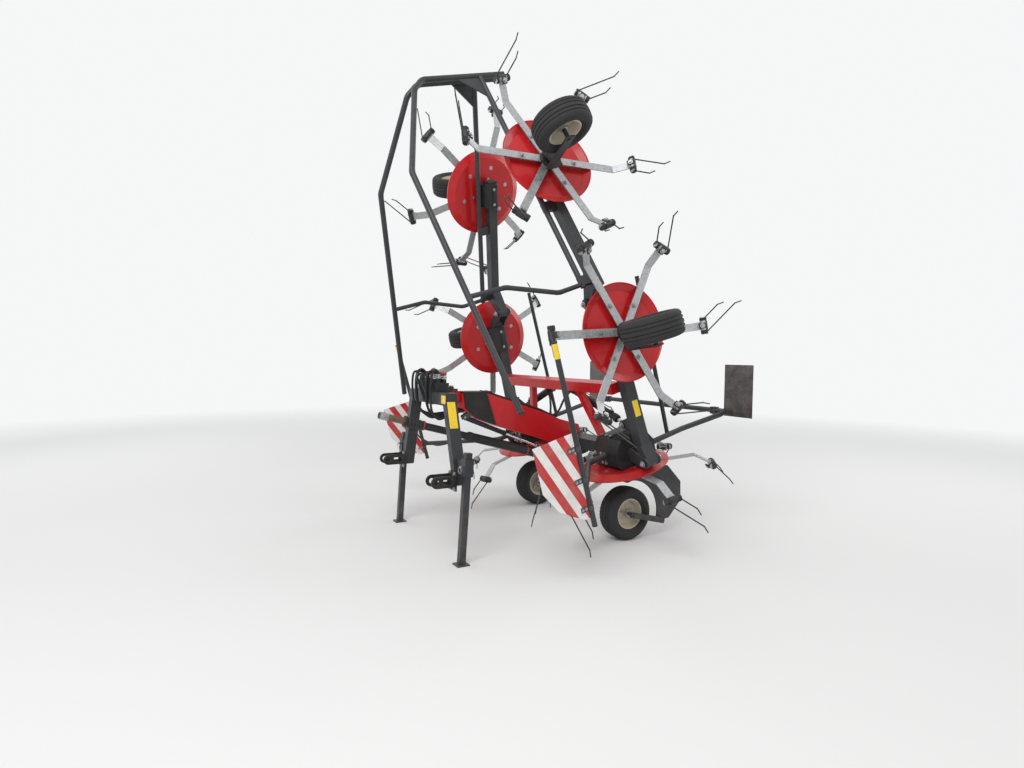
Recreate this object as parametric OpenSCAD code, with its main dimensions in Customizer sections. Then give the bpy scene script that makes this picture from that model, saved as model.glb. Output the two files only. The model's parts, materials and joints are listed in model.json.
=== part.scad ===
// Six-rotor mounted hay tedder, folded upright and parked on its stands and inner wheels.
// X runs across the machine, Z is up, and the machine travels towards -Y. The floor is Z = 0.
// Each wing is drawn in the flat working position and then folded about its two hinge lines.

/* [Rotor row] */
// Distance between neighbouring rotor axes
rotor_pitch = 1295; // [1280:5:1320]
// Height of the rotor plane over the floor, on the line of the rotor axes
rotor_plane_h = 580; // [578:1:600]
// Forward tilt of the whole frame
frame_tilt = 16; // [15:0.5:17]
// Distance from the rotor line forward to the model's origin
origin_ahead = 395; // [350:5:450]

/* [Wing folding] */
// Distance of the inner fold hinge beyond the inner rotor's axis
fold_out = 337.5; // [328:0.5:348]
// Height of the inner fold hinge over the rotor plane
fold_h = 90; // [86:1:96]
// Angle of the middle section, from flat to folded
fold_angle = 95.5; // [90:0.5:96]
// Distance of the outer fold hinge beyond the middle rotor's axis, with the wing flat
tip_out = 257.5; // [238:0.5:288]
// Height of the outer fold hinge over the rotor plane
tip_h = 285; // [275:1:295]
// Angle of the outer section, from flat to folded
tip_angle = 18; // [16:0.5:18.5]

/* [Rotor disc] */
// Outer radius of the rotor disc
disc_r = 350; // [330:5:370]
// Radius of the disc's flat top
disc_flat_r = 292; // [270:1:300]
// Height of the disc's flat top over its rim
disc_rise = 34; // [24:1:36]
// Thickness of the disc's sheet
disc_sheet = 4; // [3:0.5:5]
// Radius of the fixed column in the middle of each rotor
column_r = 35; // [30:1:40]
// Radius of the turning hub round the column
hub_r = 66; // [60:1:75]
// Depth of the hub below the rotor plane
hub_drop = 34; // [28:1:40]

/* [Tine arms] */
// Number of arms on each rotor
arm_count = 6; // [6:1:6]
// Width of the flat bar of an arm
arm_w = 58; // [45:1:62]
// Thickness of the flat bar of an arm
arm_t = 8; // [6:1:10]
// Radius at which an arm bends down
arm_bend_r = 540; // [520:1:560]
// Length of the arm's bent end
arm_end_len = 152; // [130:1:165]
// Slope of the arm's bent end
arm_end_drop = 37; // [25:1:40]
// Angle by which the bent end trails
arm_end_trail = 3; // [0:1:8]
// Angle of the first arm of the left inner rotor; its neighbours mesh with it
arm_start = 48; // [45:1:50]
// Radius of the screw that holds the arm under the disc
arm_screw_at = 210; // [190:1:230]

/* [Tines] */
// Diameter of the spring wire
tine_wire = 9.5; // [8:0.5:10]
// Outer diameter of the spring coils
coil_d = 48; // [42:1:52]
// Length of each spring coil
coil_len = 32; // [26:1:36]
// Diameter of the block that holds the coils
holder_d = 56; // [50:1:60]
// Length of the block that holds the coils
holder_len = 62; // [55:1:70]
// Length of the long prong
long_prong = 295; // [260:5:300]
// Length of the short prong
short_prong = 140; // [120:5:170]
// Length of the hooked tip of a prong
prong_hook = 45; // [30:1:60]
// Lean of the prongs away from the rotor axis
prong_lean = 22; // [15:1:28]
// Lean of the prongs against the direction of rotation
prong_trail = 38; // [25:1:42]
// Bend of the hooked tip
hook_bend = 30; // [15:1:40]

/* [Wheels] */
// Outer diameter of a tyre
tyre_d = 410; // [400:1:415]
// Width of a tyre
tyre_w = 165; // [150:1:175]
// Diameter of a rim
rim_d = 236; // [225:1:245]
// Radius of a wheel's stub axle
axle_r = 15; // [12:1:18]
// Distance of the wheels ahead of the rotor axes
wheel_ahead = 75; // [60:1:90]
// Radius of the wheel's cut-out in the sickle plate that carries an inner wheel
carrier_r = 262; // [250:1:265]
// Distance of the sickle plate beside the wheel's middle
carrier_out = 68; // [60:1:75]
// Thickness of the sickle plate
carrier_t = 12; // [10:1:14]
// Slope of the side arm from an inner wheel's axle back to its carrier
side_arm_angle = 30; // [26:1:34]

/* [Booms] */
// Width and height of the inner boom tubes and width of their hinge lugs
boom_s = 100; // [96:1:104]
// Width and height of the middle boom tubes
middle_boom_s = 84; // [80:1:92]
// Width and height of the outer boom tube
outer_boom_s = 76; // [70:1:80]
// Height of the boom tubes' middle over the rotor plane
boom_h = 132; // [130:1:140]
// Radius of the fold pins
fold_pin_r = 16; // [12:1:20]
// Thickness of the hinge plates
hinge_plate = 14; // [10:1:16]
// Radius of the hinge plates round their pin
hinge_eye_r = 42; // [36:1:46]

/* [Guards] */
// Diameter of the guard tubes
guard_d = 42; // [38:1:48]
// Diameter of the thinner tubes of the guards
stay_d = 34; // [30:1:38]
// Distance of the front guard bar from the rotor line
guard_front_y = 985; // [960:5:1010]
// Length of the front guard bar inwards from the outer rotor's axis
guard_in = 1645; // [1620:5:1670]
// Distance from the outer rotor's axis to where the front guard bar turns back
guard_turn = 150; // [120:5:180]
// Distance from the outer rotor's axis to the outer end of the guard frame
guard_out = 890; // [860:5:900]
// Distance from the rotor line of the tube beside the outer boom
guard_side_y = 118; // [112:1:130]
// Distance of the standing front bars from the centre line, beyond the inner rotor's axis
post_out = 717; // [712:1:735]
// Distance of the standing front bars ahead of the rotor line, beyond the reach of the folding prongs
post_ahead = 832; // [832:1:845]
// Height of the standing front bars' tops over the rotor plane
post_top = 1190; // [1150:10:1200]
// Height of a front warning board
board_tall = 545; // [500:5:550]
// Width of a front warning board
board_wide = 282; // [270:1:290]
// Distance of the rear guard's cross tube behind the rotor line
rear_y = 1000; // [980:5:1030]
// Height of the rear guard over the rotor plane
rear_h = 128; // [120:1:150]
// Side of the rear warning boards
rear_board = 423; // [400:1:423]

/* [Centre frame] */
// Width of the main beam
beam_w = 140; // [120:5:150]
// Half length of the top cross beam
cross_x = 812; // [780:1:818]
// Height of the top cross beam over the rotor plane
cross_h = 645; // [640:1:655]
// Width and height of the top cross beam
cross_s = 80; // [70:1:90]

/* [Fold cylinders] */
// Outer diameter of a cylinder barrel
barrel_d = 56; // [50:1:60]
// Diameter of a piston rod
rod_d = 26; // [22:1:28]
// Length of rod that shows between barrel and eye while the wing is folded
rod_show = 56; // [40:1:80]
// Distance of the cylinders behind the line of the rotor axes
cylinder_y = 30; // [28:1:32]
// Distance of a barrel's pin from the centre line
barrel_pin_x = 105; // [100:1:115]
// Height of a barrel's pin over the rotor plane
barrel_pin_h = 590; // [580:1:600]
// Distance of the rod's eye beyond the fold hinge, with the wing flat
eye_out = 270; // [260:1:280]
// Height of the rod's eye over the fold hinge, with the wing flat
eye_up = 220; // [215:1:230]

/* [Headstock] */
// Half distance between the lower link points
link_x = 505; // [480:1:515]
// Height of the lower link points over the floor
link_z = 560; // [540:5:580]
// Height of the top link point over the lower ones
mast_h = 685; // [680:1:690]
// Radius of the lower link pins
link_pin_r = 18.3; // [18:0.05:18.5]
// Radius of the top link pin
top_pin_r = 15.9; // [15.7:0.05:16.2]
// Distance of the headstock's frame ahead of the steering pin
headstock_out = 160; // [155:1:170]
// Distance of the steering pin ahead of the rotor line
swivel_ahead = 1165; // [1155:5:1175]
// Half distance between the stand legs
stand_x = 617; // [600:1:625]
// Side of a stand leg's square tube
stand_s = 45; // [40:1:50]
// Length of a stand leg
stand_len = 760; // [740:5:800]
// Forward lean of the stand legs
stand_lean = 3.5; // [2:0.5:4]
// Half width of the headstock over its legs, at the top
mast_x = 360; // [350:1:380]
// Height of the headstock's top beam over the floor
mast_z = 1100; // [1098:1:1102]

/* [Drive shaft] */
// Diameter of the drive shaft's guard tube
shaft_guard_d = 84; // [70:2:96]
// Diameter of the splined yoke bore
yoke_bore_d = 35; // [34:1:36]

/* [Hidden] */
$fn = 36;
eps = 0.01;

// Clearances
seat = 0.3;
fit = 0.05;
// A tube's elbows are drawn a little thicker than its straights and lap over them
elbow_swell = 1.2;
elbow_lap = 1.5;

// Columns: side (1 left, -1 right), section (0 inner, 1 middle, 2 outer), angle of the first arm
INNER_LEFT = [1, 0, arm_start];
MIDDLE_LEFT = [1, 1, 90 - arm_start];
OUTER_LEFT = [1, 2, arm_start];
INNER_RIGHT = [-1, 0, arm_start - 30];
MIDDLE_RIGHT = [-1, 1, 60 - arm_start];
OUTER_RIGHT = [-1, 2, arm_start - 30];

RED = "#c5161d";
GRAPHITE = "#3b3e42";
BLACK = "#1b1c1e";
ZINC = "#b9bdc0";
CREAM = "#d8cfb2";
STEEL = "#8d9195";

boom_bottom = boom_h - boom_s / 2;
boom_top = boom_h + boom_s / 2;
gearbox_bottom = disc_rise + disc_sheet + 7;
wheel_drop = (rotor_plane_h - wheel_ahead * sin(frame_tilt) - tyre_d / 2) / cos(frame_tilt);
link_top_z = link_z + mast_h;

// Distance of the headstock's frame ahead of the rotor line
headstock_ahead = swivel_ahead + headstock_out;

// Underside of the centre gearbox and lower end of the front warning boards, over the rotor plane
centre_low = -12;
post_low = 40;

// Steering pin: its radius and the heights of the sleeve round it
swivel_r = 20;
swivel_low = 1060 + seat;
swivel_high = 1140 - seat;

function rotor_x(section) = (section + 0.5) * rotor_pitch;

// Places along a wing while it lies flat, each from the rotor axis that it goes with
fold_x = rotor_x(0) + fold_out;
tip_x = rotor_x(1) + tip_out;
guard_in_x = rotor_x(2) - guard_in;
guard_turn_x = rotor_x(2) + guard_turn;
guard_out_x = rotor_x(2) + guard_out;
post_x = rotor_x(0) + post_out;

// Places the whole machine frame, with its tilt
module in_frame() translate([0, origin_ahead, rotor_plane_h]) rotate([frame_tilt, 0, 0]) children();

module fold_up(x, h, a) translate([x, 0, h]) rotate([0, -a, 0]) translate([-x, 0, -h]) children();

// Places what is drawn flat on a wing: section 0 stays, 1 folds once and 2 folds twice
module in_section(side, section) {
    mirror([side < 0 ? 1 : 0, 0, 0]) in_frame() {
        if (section == 0) children();
        if (section == 1) fold_up(fold_x, fold_h, fold_angle) children();
        if (section == 2) fold_up(fold_x, fold_h, fold_angle) fold_up(tip_x, tip_h, tip_angle) children();
    }
}

// Cylinder from point a to point b
module bar(a, b, d) {
    v = b - a;
    len = norm(v);
    translate(a) rotate([0, acos(v[2] / len), atan2(v[1], v[0])]) cylinder(d = d, h = len);
}

// Square or flat bar from point a to point b, wide across and high in the plane of its rise
module flat_bar(a, b, w, h) {
    v = b - a;
    len = norm(v);
    translate(a) rotate([0, -asin(v[2] / len), atan2(v[1], v[0])])
        translate([0, -w / 2, -h / 2]) cube([len, w, h]);
}

function unit(v) = v / norm(v);

// Round tube through points p, bent to radius r at each inner point
module bent_tube(p, d, r) {
    last = len(p) - 1;
    for (i = [0 : last - 1]) {
        u = unit(p[i + 1] - p[i]);
        a = i == 0 ? p[0] : p[i] + u * bend_run(p, i, r);
        b = i == last - 1 ? p[last] : p[i + 1] - u * bend_run(p, i + 1, r);
        bar(a, b, d);
    }
    for (i = [1 : last - 1]) {
        u = unit(p[i] - p[i - 1]);
        v = unit(p[i + 1] - p[i]);
        w = unit(v - (v * u) * u);
        n = cross(-w, u);
        c = p[i] - u * bend_run(p, i, r) + w * r;
        multmatrix([[-w[0], u[0], n[0], c[0]], [-w[1], u[1], n[1], c[1]], [-w[2], u[2], n[2], c[2]]])
            rotate([0, 0, -elbow_lap]) rotate_extrude(angle = acos(u * v) + 2 * elbow_lap)
                translate([r, 0]) circle(d = d + elbow_swell);
    }
}

function bend_run(p, i, r) = r * tan(acos(unit(p[i] - p[i - 1]) * unit(p[i + 1] - p[i])) / 2);

// Plate in the plane across Y, from a profile in X and Z, standing from y to y + t
module plate_y(y, t) translate([0, y + t, 0]) rotate([90, 0, 0]) linear_extrude(t) children();

// Bar along Y through the point x, z
module pin_y(x, z, r, y0, y1) translate([x, y0, z]) rotate([-90, 0, 0]) cylinder(r = r, h = y1 - y0);

// Rotors
module disc(rotor) {
    s = disc_sheet;
    color(RED) in_section(rotor[0], rotor[1]) translate([rotor_x(rotor[1]), 0, 0]) {
        rotate_extrude() polygon([
            [hub_r, disc_rise], [disc_flat_r, disc_rise], [disc_r - 2 * s, 1.5 * s], [disc_r - s, 0],
            [disc_r, 0], [disc_r, 2 * s], [disc_flat_r, disc_rise + s], [hub_r, disc_rise + s]]);
    }
}

// One prong: down and back from its coil, then the hooked tip
module prong(from, length, trail) {
    lean = slant(prong_lean, prong_trail, trail);
    hook = slant(prong_lean, prong_trail - hook_bend, trail);
    knee = from + lean * length;
    bar(from, knee, tine_wire);
    bar(knee - lean * tine_wire / 2, knee + hook * prong_hook, tine_wire - elbow_swell);
}

// Direction downwards that leans outwards by one angle and to the trailing side by another
function slant(out, back, trail) =
    [sin(out), sin(back) * trail, -sqrt(1 - pow(sin(out), 2) - pow(sin(back), 2))];

// Arm along +X with its holder and two prongs; trail is the side it trails to
module tine_arm(trail) {
    translate([hub_r - 30, -arm_w / 2, -arm_t]) cube([arm_bend_r - hub_r + 30, arm_w, arm_t]);
    translate([arm_screw_at, 0, -arm_t - 8]) cylinder(d = 26, h = disc_rise + arm_t + 8);
    translate([arm_bend_r - 2, 0, -arm_t / 2]) rotate([0, 0, trail * arm_end_trail])
        rotate([0, arm_end_drop, 0]) {
            translate([-4, -arm_w / 2, -arm_t / 2]) cube([arm_end_len, arm_w, arm_t]);
            translate([arm_end_len, 0, -arm_t / 2]) {
                rotate([90, 0, 0]) cylinder(d = holder_d, h = holder_len, center = true);
                for (k = [-1, 1]) {
                    coil_y = k * (holder_len + coil_len) / 2;
                    translate([0, coil_y, 0]) rotate([90, 0, 0])
                        cylinder(d = coil_d, h = coil_len + 2 * eps, center = true);
                    prong_y = k * (holder_len / 2 + coil_len - tine_wire);
                    rotate([0, -arm_end_drop, 0]) prong([coil_d / 2 - tine_wire, prong_y, 0],
                        k == trail ? short_prong : long_prong, trail);
                }
            }
        }
}

module tines(rotor) {
    trail = rotor[1] % 2 == 0 ? 1 : -1;
    // The right wing is drawn mirrored, so its arm angles are mirrored back
    color(ZINC) in_section(rotor[0], rotor[1]) translate([rotor_x(rotor[1]), 0, 0]) {
        difference() {
            union() {
                translate([0, 0, -hub_drop]) cylinder(r = hub_r, h = hub_drop + disc_rise + disc_sheet);
                for (i = [0 : arm_count - 1])
                    rotate([0, 0, rotor[2] + i * 360 / arm_count]) tine_arm(trail);
            }
            translate([0, 0, -hub_drop - 1]) cylinder(r = column_r + seat, h = hub_drop + disc_rise + 20);
            translate([0, 0, disc_rise - eps]) difference() {
                cylinder(r = hub_r + 300, h = disc_sheet * 3);
                translate([0, 0, -1]) cylinder(r = hub_r - eps, h = disc_sheet * 3 + 2);
            }
        }
    }
}

// Wheels
module at_wheel(rotor) in_section(rotor[0], rotor[1])
    translate([rotor_x(rotor[1]), -wheel_ahead, -wheel_drop]) rotate([0, 90, 0]) children();

module tyre(rotor) {
    r = tyre_d / 2;
    w = tyre_w / 2;
    color(BLACK) at_wheel(rotor) rotate_extrude() polygon([
        [rim_d / 2, -w * 0.72], [rim_d / 2 + 14, -w * 0.86], [r * 0.76, -w], [r * 0.9, -w * 0.93],
        [r * 0.975, -w * 0.66], [r, -w * 0.3], [r, w * 0.3], [r * 0.975, w * 0.66],
        [r * 0.9, w * 0.93], [r * 0.76, w], [rim_d / 2 + 14, w * 0.86], [rim_d / 2, w * 0.72]]);
}

module rim(rotor) {
    r = rim_d / 2;
    w = tyre_w / 2 * 0.72;
    color(CREAM) at_wheel(rotor) difference() {
        rotate_extrude() polygon([
            [0, -22], [34, -22], [34, 0], [r - 40, 6], [r - 22, -w + 18], [r - 10, -w], [r, -w],
            [r, w], [r - 10, w], [r - 20, w - 20], [r - 34, 14], [34, 8], [34, 30], [0, 30]]);
        translate([0, 0, -60]) cylinder(r = axle_r + seat, h = 120);
    }
}

// Carriers of the wheels: column through the rotor, foot plate, side arm and stub axle
module column(section) translate([rotor_x(section), 0, -hub_drop - 22])
    cylinder(r = column_r, h = gearbox_bottom + hub_drop + 22);

module stub_axle(section, out) translate([rotor_x(section), -wheel_ahead, -wheel_drop])
    rotate([0, 90, 0]) translate([0, 0, out > 0 ? -24 : -out_x() - 6]) cylinder(r = axle_r, h = 30 + out_x());

function out_x() = tyre_w / 2 + 38;

module wheel_leg(section) {
    x = rotor_x(section);
    top = -hub_drop - 22;
    side = -tyre_w / 2 - 26;
    column(section);
    translate([x, 0, top - 12]) cylinder(r = column_r + 22, h = 12);
    flat_bar([x, -10, top - 22], [x + side, -10, top - 22], 80, 20);
    translate([x + side - 12, -wheel_ahead - 34, -wheel_drop - 34]) cube([12, 68, wheel_drop + top - 12 + 34]);
    translate([x + side - 12, -wheel_ahead - 34, top - 32]) cube([12, 68 + 24, 20]);
    stub_axle(section, -1);
}

module inner_wheel_leg() {
    x = rotor_x(0);
    top = -hub_drop - 22;
    hub = [x, -wheel_ahead, -wheel_drop];
    reach = [0, cos(side_arm_angle), -sin(side_arm_angle)];
    column(0);
    translate([x, 0, top - 12]) cylinder(r = column_r + 22, h = 12);
    translate([x - 45, -50, top - 12 - 50]) cube([45 + carrier_out + carrier_t - 1, 190, 50]);
    translate([x + carrier_out, 0, 0]) rotate([90, 0, 90]) linear_extrude(carrier_t) difference() {
        polygon([[-70, top - 14], [215, top - 14], [371, -128], [470, -303], [433, -452], [277, -543], [120, -512]]);
        translate([-wheel_ahead, -wheel_drop]) circle(r = carrier_r);
    }
    flat_bar(hub + [out_x() - 10, 0, 0] - reach * 32, hub + [out_x() - 10, 0, 0] + reach * (carrier_r + 50), 20, 44);
    translate(hub + [carrier_out + 1, 0, 0] + reach * (carrier_r + 28) - [0, 20, 16])
        cube([out_x() - carrier_out, 40, 32]);
    stub_axle(0, 1);
}

module inner_wheel_legs() color(GRAPHITE) for (s = [1, -1]) in_section(s, 0) inner_wheel_leg();

module middle_leg(s) color(GRAPHITE) in_section(s, 1) wheel_leg(1);

module outer_leg(s) color(GRAPHITE) in_section(s, 2) wheel_leg(2);

// Gearbox over a rotor, with a saddle round the boom tube
module gearbox(x0, x1, tube, low_y, high_y, top) {
    t = tube / 2;
    difference() {
        union() {
            translate([x0, 0, 0]) rotate([90, 0, 90]) linear_extrude(x1 - x0) polygon([
                [low_y, gearbox_bottom + 30], [low_y + 20, gearbox_bottom], [high_y - 20, gearbox_bottom],
                [high_y, gearbox_bottom + 30], [high_y, top - 90], [high_y - 60, top], [low_y + 60, top],
                [low_y, top - 90]]);
        }
        translate([x0 - 1, -t - seat, boom_h - t - seat]) cube([x1 - x0 + 2, tube + 2 * seat, tube + 2 * seat]);
    }
}

module inner_gearboxes() color(BLACK) {
    for (s = [1, -1]) in_section(s, 0)
        gearbox(rotor_x(0) - 92.5, rotor_x(0) + 187.5, boom_s, -175, 190, 262);
    in_frame() {
        translate([-74, -235, centre_low]) cube([148, 330, boom_bottom + 60 - centre_low]);
        bar(shaft_rear - shaft_along * 70, shaft_rear, 92);
    }
}

module middle_gearbox(s) color(BLACK) in_section(s, 1)
    gearbox(rotor_x(1) - 110, rotor_x(1) + 110, middle_boom_s, -90, 90, boom_h + middle_boom_s / 2 + 34);

module outer_gearbox(s) color(BLACK) in_section(s, 2)
    gearbox(rotor_x(2) - 95, rotor_x(2) + 95, outer_boom_s, -85, 85, boom_h + outer_boom_s / 2 + 34);

// Inner booms with the fork of the fold hinge
module inner_booms() color(GRAPHITE) for (s = [1, -1]) in_section(s, 0) {
    fork_y = boom_s / 2 + seat;
    root = fold_x - 147;
    translate([74 + seat, -boom_s / 2, boom_bottom]) cube([fold_x - 199, boom_s, boom_s]);
    for (k = [-1, 1]) {
        y = k > 0 ? fork_y : -fork_y - hinge_plate;
        plate_y(y, hinge_plate) difference() {
            union() {
                translate([fold_x, fold_h]) circle(r = hinge_eye_r);
                polygon([[root, boom_bottom], [fold_x, fold_h - hinge_eye_r], [fold_x, fold_h + hinge_eye_r],
                    [root + 32, boom_top], [root, boom_top]]);
            }
        }
        translate([root + 2, k > 0 ? boom_s / 2 - 4 : -fork_y - 2, boom_bottom + 10]) cube([18, 6, boom_s - 20]);
    }
    pin_y(fold_x, fold_h, fold_pin_r, -fork_y - hinge_plate - 14, fork_y + hinge_plate + 14);
}

// Middle boom with its hinge lugs at both ends and the ears for the rod's eye
module middle_boom(s) color(GRAPHITE) in_section(s, 1) {
    start = fold_x + hinge_eye_r + 26;
    end = tip_x - 70;
    t = middle_boom_s / 2;
    eye_x = fold_x + eye_out;
    eye_z = fold_h + eye_up;
    difference() {
        union() {
            translate([start, -t, boom_h - t]) cube([end - start, 2 * t, 2 * t]);
            plate_y(-boom_s / 2, boom_s) {
                translate([fold_x, fold_h]) circle(r = hinge_eye_r - 6);
                polygon([[fold_x, fold_h - hinge_eye_r + 6], [start + 60, boom_h - t + 2],
                    [start + 60, boom_h + t - 20], [fold_x, fold_h + hinge_eye_r - 6]]);
            }
        }
        pin_y(fold_x, fold_h, fold_pin_r + fit, -boom_s, boom_s);
    }
    translate([eye_x - 80, -t + 6, boom_h + t - 3]) cube([160, t - 6 + cylinder_y + 32, 13]);
    for (y = [cylinder_y - 27, cylinder_y + 15]) plate_y(y, 12) {
        translate([eye_x, eye_z]) circle(r = 30);
        polygon([[eye_x - 70, boom_h + t + 4], [eye_x + 70, boom_h + t + 4],
            [eye_x + 29, eye_z + 6], [eye_x - 29, eye_z + 6]]);
    }
    for (y = [cylinder_y - 34, cylinder_y + 20]) pin_y(eye_x, eye_z, 17, y, y + 14);
    for (k = [-1, 1]) plate_y(k > 0 ? t : -t - hinge_plate, hinge_plate) {
        translate([tip_x, tip_h]) circle(r = hinge_eye_r - 4);
        polygon([[end - 72, boom_h - t + 12], [end - 20, boom_h - t + 12], [tip_x + 20, tip_h - 30],
            [tip_x - 36, tip_h + 10], [end - 72, boom_h + t]]);
    }
    pin_y(tip_x, tip_h, fold_pin_r, -t - hinge_plate - 14, t + hinge_plate + 14);
}

// Outer boom, with its lug on the outer fold pin
module outer_boom(s) color(GRAPHITE) in_section(s, 2) {
    t = outer_boom_s;
    start = tip_x + 50;
    difference() {
        union() {
            translate([start, -t / 2, boom_h - t / 2]) cube([rotor_x(2) + 120 - start, t, t]);
            plate_y(-t / 2, t) {
                translate([tip_x, tip_h]) circle(r = hinge_eye_r - 6);
                polygon([[tip_x - 36, tip_h], [start, boom_h], [start + 190, boom_h], [tip_x + 20, tip_h + 29]]);
            }
        }
        pin_y(tip_x, tip_h, fold_pin_r + fit, -t, t);
    }
}

// Guard frame of the outer section, with the tube beside the boom, the gusset and the curved stay
module outer_guard(s) color(GRAPHITE) in_section(s, 2) {
    z = boom_h;
    y = -guard_front_y;
    side_y = -guard_side_y;
    bent_tube([[guard_in_x, y, z], [guard_turn_x, y, z], [guard_out_x - 75, -690, z],
        [guard_out_x, -600, z], [guard_out_x, 90, z]], guard_d, 90);
    bar([tip_x + 75, side_y, z], [guard_out_x, side_y, z], guard_d - elbow_swell);
    translate([0, 0, z - 5]) linear_extrude(10)
        polygon([[guard_out_x - 5, side_y], [guard_out_x - 5, side_y - 215], [guard_out_x - 205, side_y]]);
    bent_tube([[tip_x + 220, y, z], [tip_x + 220, -700, z], [tip_x + 85, -330, z], [tip_x + 100, side_y, z]],
        stay_d, 120);
    for (x = [tip_x + 88, rotor_x(2) - 330]) translate([x, side_y - 12, z - 22])
        cube([70, guard_side_y - outer_boom_s / 2 + 12, 44]);
}

// Guard bars that stand in front of the inner rotors, each with its arm to the gearbox
module front_guards() color(GRAPHITE) for (s = [1, -1]) in_section(s, 0) {
    y = -post_ahead;
    arm_x = rotor_x(0) + 52;
    bar([post_x, y, post_low], [post_x, y, post_top], stay_d);
    bent_tube([[arm_x, -175 - seat, 150], [arm_x, -340, 150], [post_x - 150, y + 80, 190], [post_x, y, 190]], 40, 90);
}

// Front warning boards: each hangs from its bar and has a cut lower corner
module warning_boards() color("white") for (s = [1, -1]) in_section(s, 0) {
    low = post_low + 55;
    translate([post_x - 6, -post_ahead - stay_d / 2 - seat, low]) rotate([90, 0, 90]) linear_extrude(3)
        polygon([[0, 0], [-45, 4], [-0.72 * board_wide, 0.22 * board_tall], [-board_wide, 0.48 * board_tall],
            [-board_wide, board_tall], [0, board_tall]]);
}

// Guard tube behind the inner rotors with its uprights
module rear_guard() color(GRAPHITE) {
    x = rotor_x(0) + 152;
    in_frame() bent_tube([[-x, 190 + seat, rear_h + 10], [-x, 520, rear_h + 10], [-x - 50, rear_y, rear_h],
        [x + 50, rear_y, rear_h], [x, 520, rear_h + 10], [x, 190 + seat, rear_h + 10]], guard_d, 90);
    for (s = [1, -1]) in_section(s, 0) bar([x - 22, 385, rear_h + 4], [x - 22, 385, 1380], 32);
}

// Rear warning boards stand upright on the rear guard
module rear_boards() color("white") for (s = [1, -1]) mirror([s < 0 ? 1 : 0, 0, 0]) in_frame()
    translate([rotor_x(0) + 135, rear_y, rear_h]) rotate([-frame_tilt, 0, 0]) {
        translate([0, guard_d / 2 + 4, -40]) cube([0.667 * rear_board, 3, rear_board]);
        translate([-100, guard_d / 2 + 2, -18]) cube([184, 4, 36]);
        for (x = [-100, -66]) translate([x, 0, 0]) difference() {
            translate([0, -guard_d / 2 - 8, -guard_d / 2 - 8]) cube([14, guard_d + 12, guard_d + 16]);
            translate([-10, 0, 0]) rotate([0, 90, 0]) cylinder(d = guard_d + 2 * seat, h = 40);
        }
    }

// Main beam, from the sleeve of the steering pin down to the centre gearbox, with that pin's place along it
swivel_at = (mast_z - rotor_plane_h) * sin(frame_tilt) - swivel_ahead * cos(frame_tilt);
beam_top = [[swivel_at + 63.5, 829], [-708, 767], [-446, 593], [-270, 476], [-108, 352], [62, 250]];
beam_under = [[62, boom_bottom + 60 + seat], [-160, boom_bottom + 60 + seat], [-337, 263], [-669, 472],
    [swivel_at + 118.5, 604], [swivel_at + 31.5, 716]];

module main_beam() color(RED) {
    in_frame() translate([-beam_w / 2, 0, 0]) rotate([90, 0, 90]) linear_extrude(beam_w)
        polygon(concat(beam_top, beam_under));
    translate([0, origin_ahead - swivel_ahead, 0]) difference() {
        union() {
            translate([0, 0, swivel_low]) cylinder(r = 44, h = swivel_high - swivel_low);
            translate([-36, 0, swivel_low]) cube([72, 62, swivel_high - swivel_low]);
        }
        translate([0, 0, swivel_low - 1]) cylinder(r = swivel_r + fit, h = swivel_high - swivel_low + 2);
    }
}

// Cover over the front of the main beam, open at both ends
module beam_cover() color(BLACK) in_frame() difference() {
    cover_slab(beam_w / 2 + 9, [[swivel_at + 74.5, 836], [-712, 779], [-700, 500], [swivel_at + 134.5, 600],
        [swivel_at + 58.5, 708]]);
    cover_slab(beam_w / 2 + seat, [[swivel_at + 16.5, 843.5 + seat], [swivel_at + 63.5, 829 + seat], [-708, 767 + seat],
        [-680, 748], [-680, 440], [swivel_at + 16.5, 560]]);
}

// Slab of that half width across the beam, from an outline in Y and Z
module cover_slab(half, outline) translate([-half, 0, 0]) rotate([90, 0, 90]) linear_extrude(2 * half)
    polygon(outline);

// Top cross beam with its braces and the lugs of the fold cylinders
module a_frame() color(RED) in_frame() {
    y = -45;
    foot_x = rotor_x(0) - 126;
    translate([-cross_x, y - cross_s / 2, cross_h - cross_s / 2]) cube([2 * cross_x, cross_s, cross_s]);
    for (s = [1, -1]) {
        flat_bar([s * 350, y, cross_h - cross_s / 2 + 4], [s * foot_x, y + 15, boom_top + 18], 50, 50);
        translate([s * foot_x - 30, y - 5, boom_top + seat]) cube([60, 50, 30]);
        plate_y(-14, 12) {
            translate([s * barrel_pin_x, barrel_pin_h]) circle(r = 30);
            translate([s * barrel_pin_x - 40, barrel_pin_h]) square([80, cross_h + 20 - barrel_pin_h]);
        }
        pin_y(s * barrel_pin_x, barrel_pin_h, 14, -12, cylinder_y + 34);
    }
}

// Fold cylinders lie behind the cross beam, from their pins to the ears on the middle booms
function eye_angle() = atan2(eye_up, eye_out) + fold_angle;
function eye_arm() = norm([eye_out, eye_up]);
function eye_now() = [fold_x + eye_arm() * cos(eye_angle()), fold_h + eye_arm() * sin(eye_angle())];
function cylinder_slope() = atan2(eye_now()[1] - barrel_pin_h, eye_now()[0] - barrel_pin_x);
function cylinder_len() = norm([eye_now()[0] - barrel_pin_x, eye_now()[1] - barrel_pin_h]);

module along_cylinder(s) in_section(s, 0) translate([barrel_pin_x, cylinder_y, barrel_pin_h])
    rotate([0, 90 - cylinder_slope(), 0]) children();

// Length of a barrel from its pin to its open end
function barrel_len() = cylinder_len() - 28 - rod_show;

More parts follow.
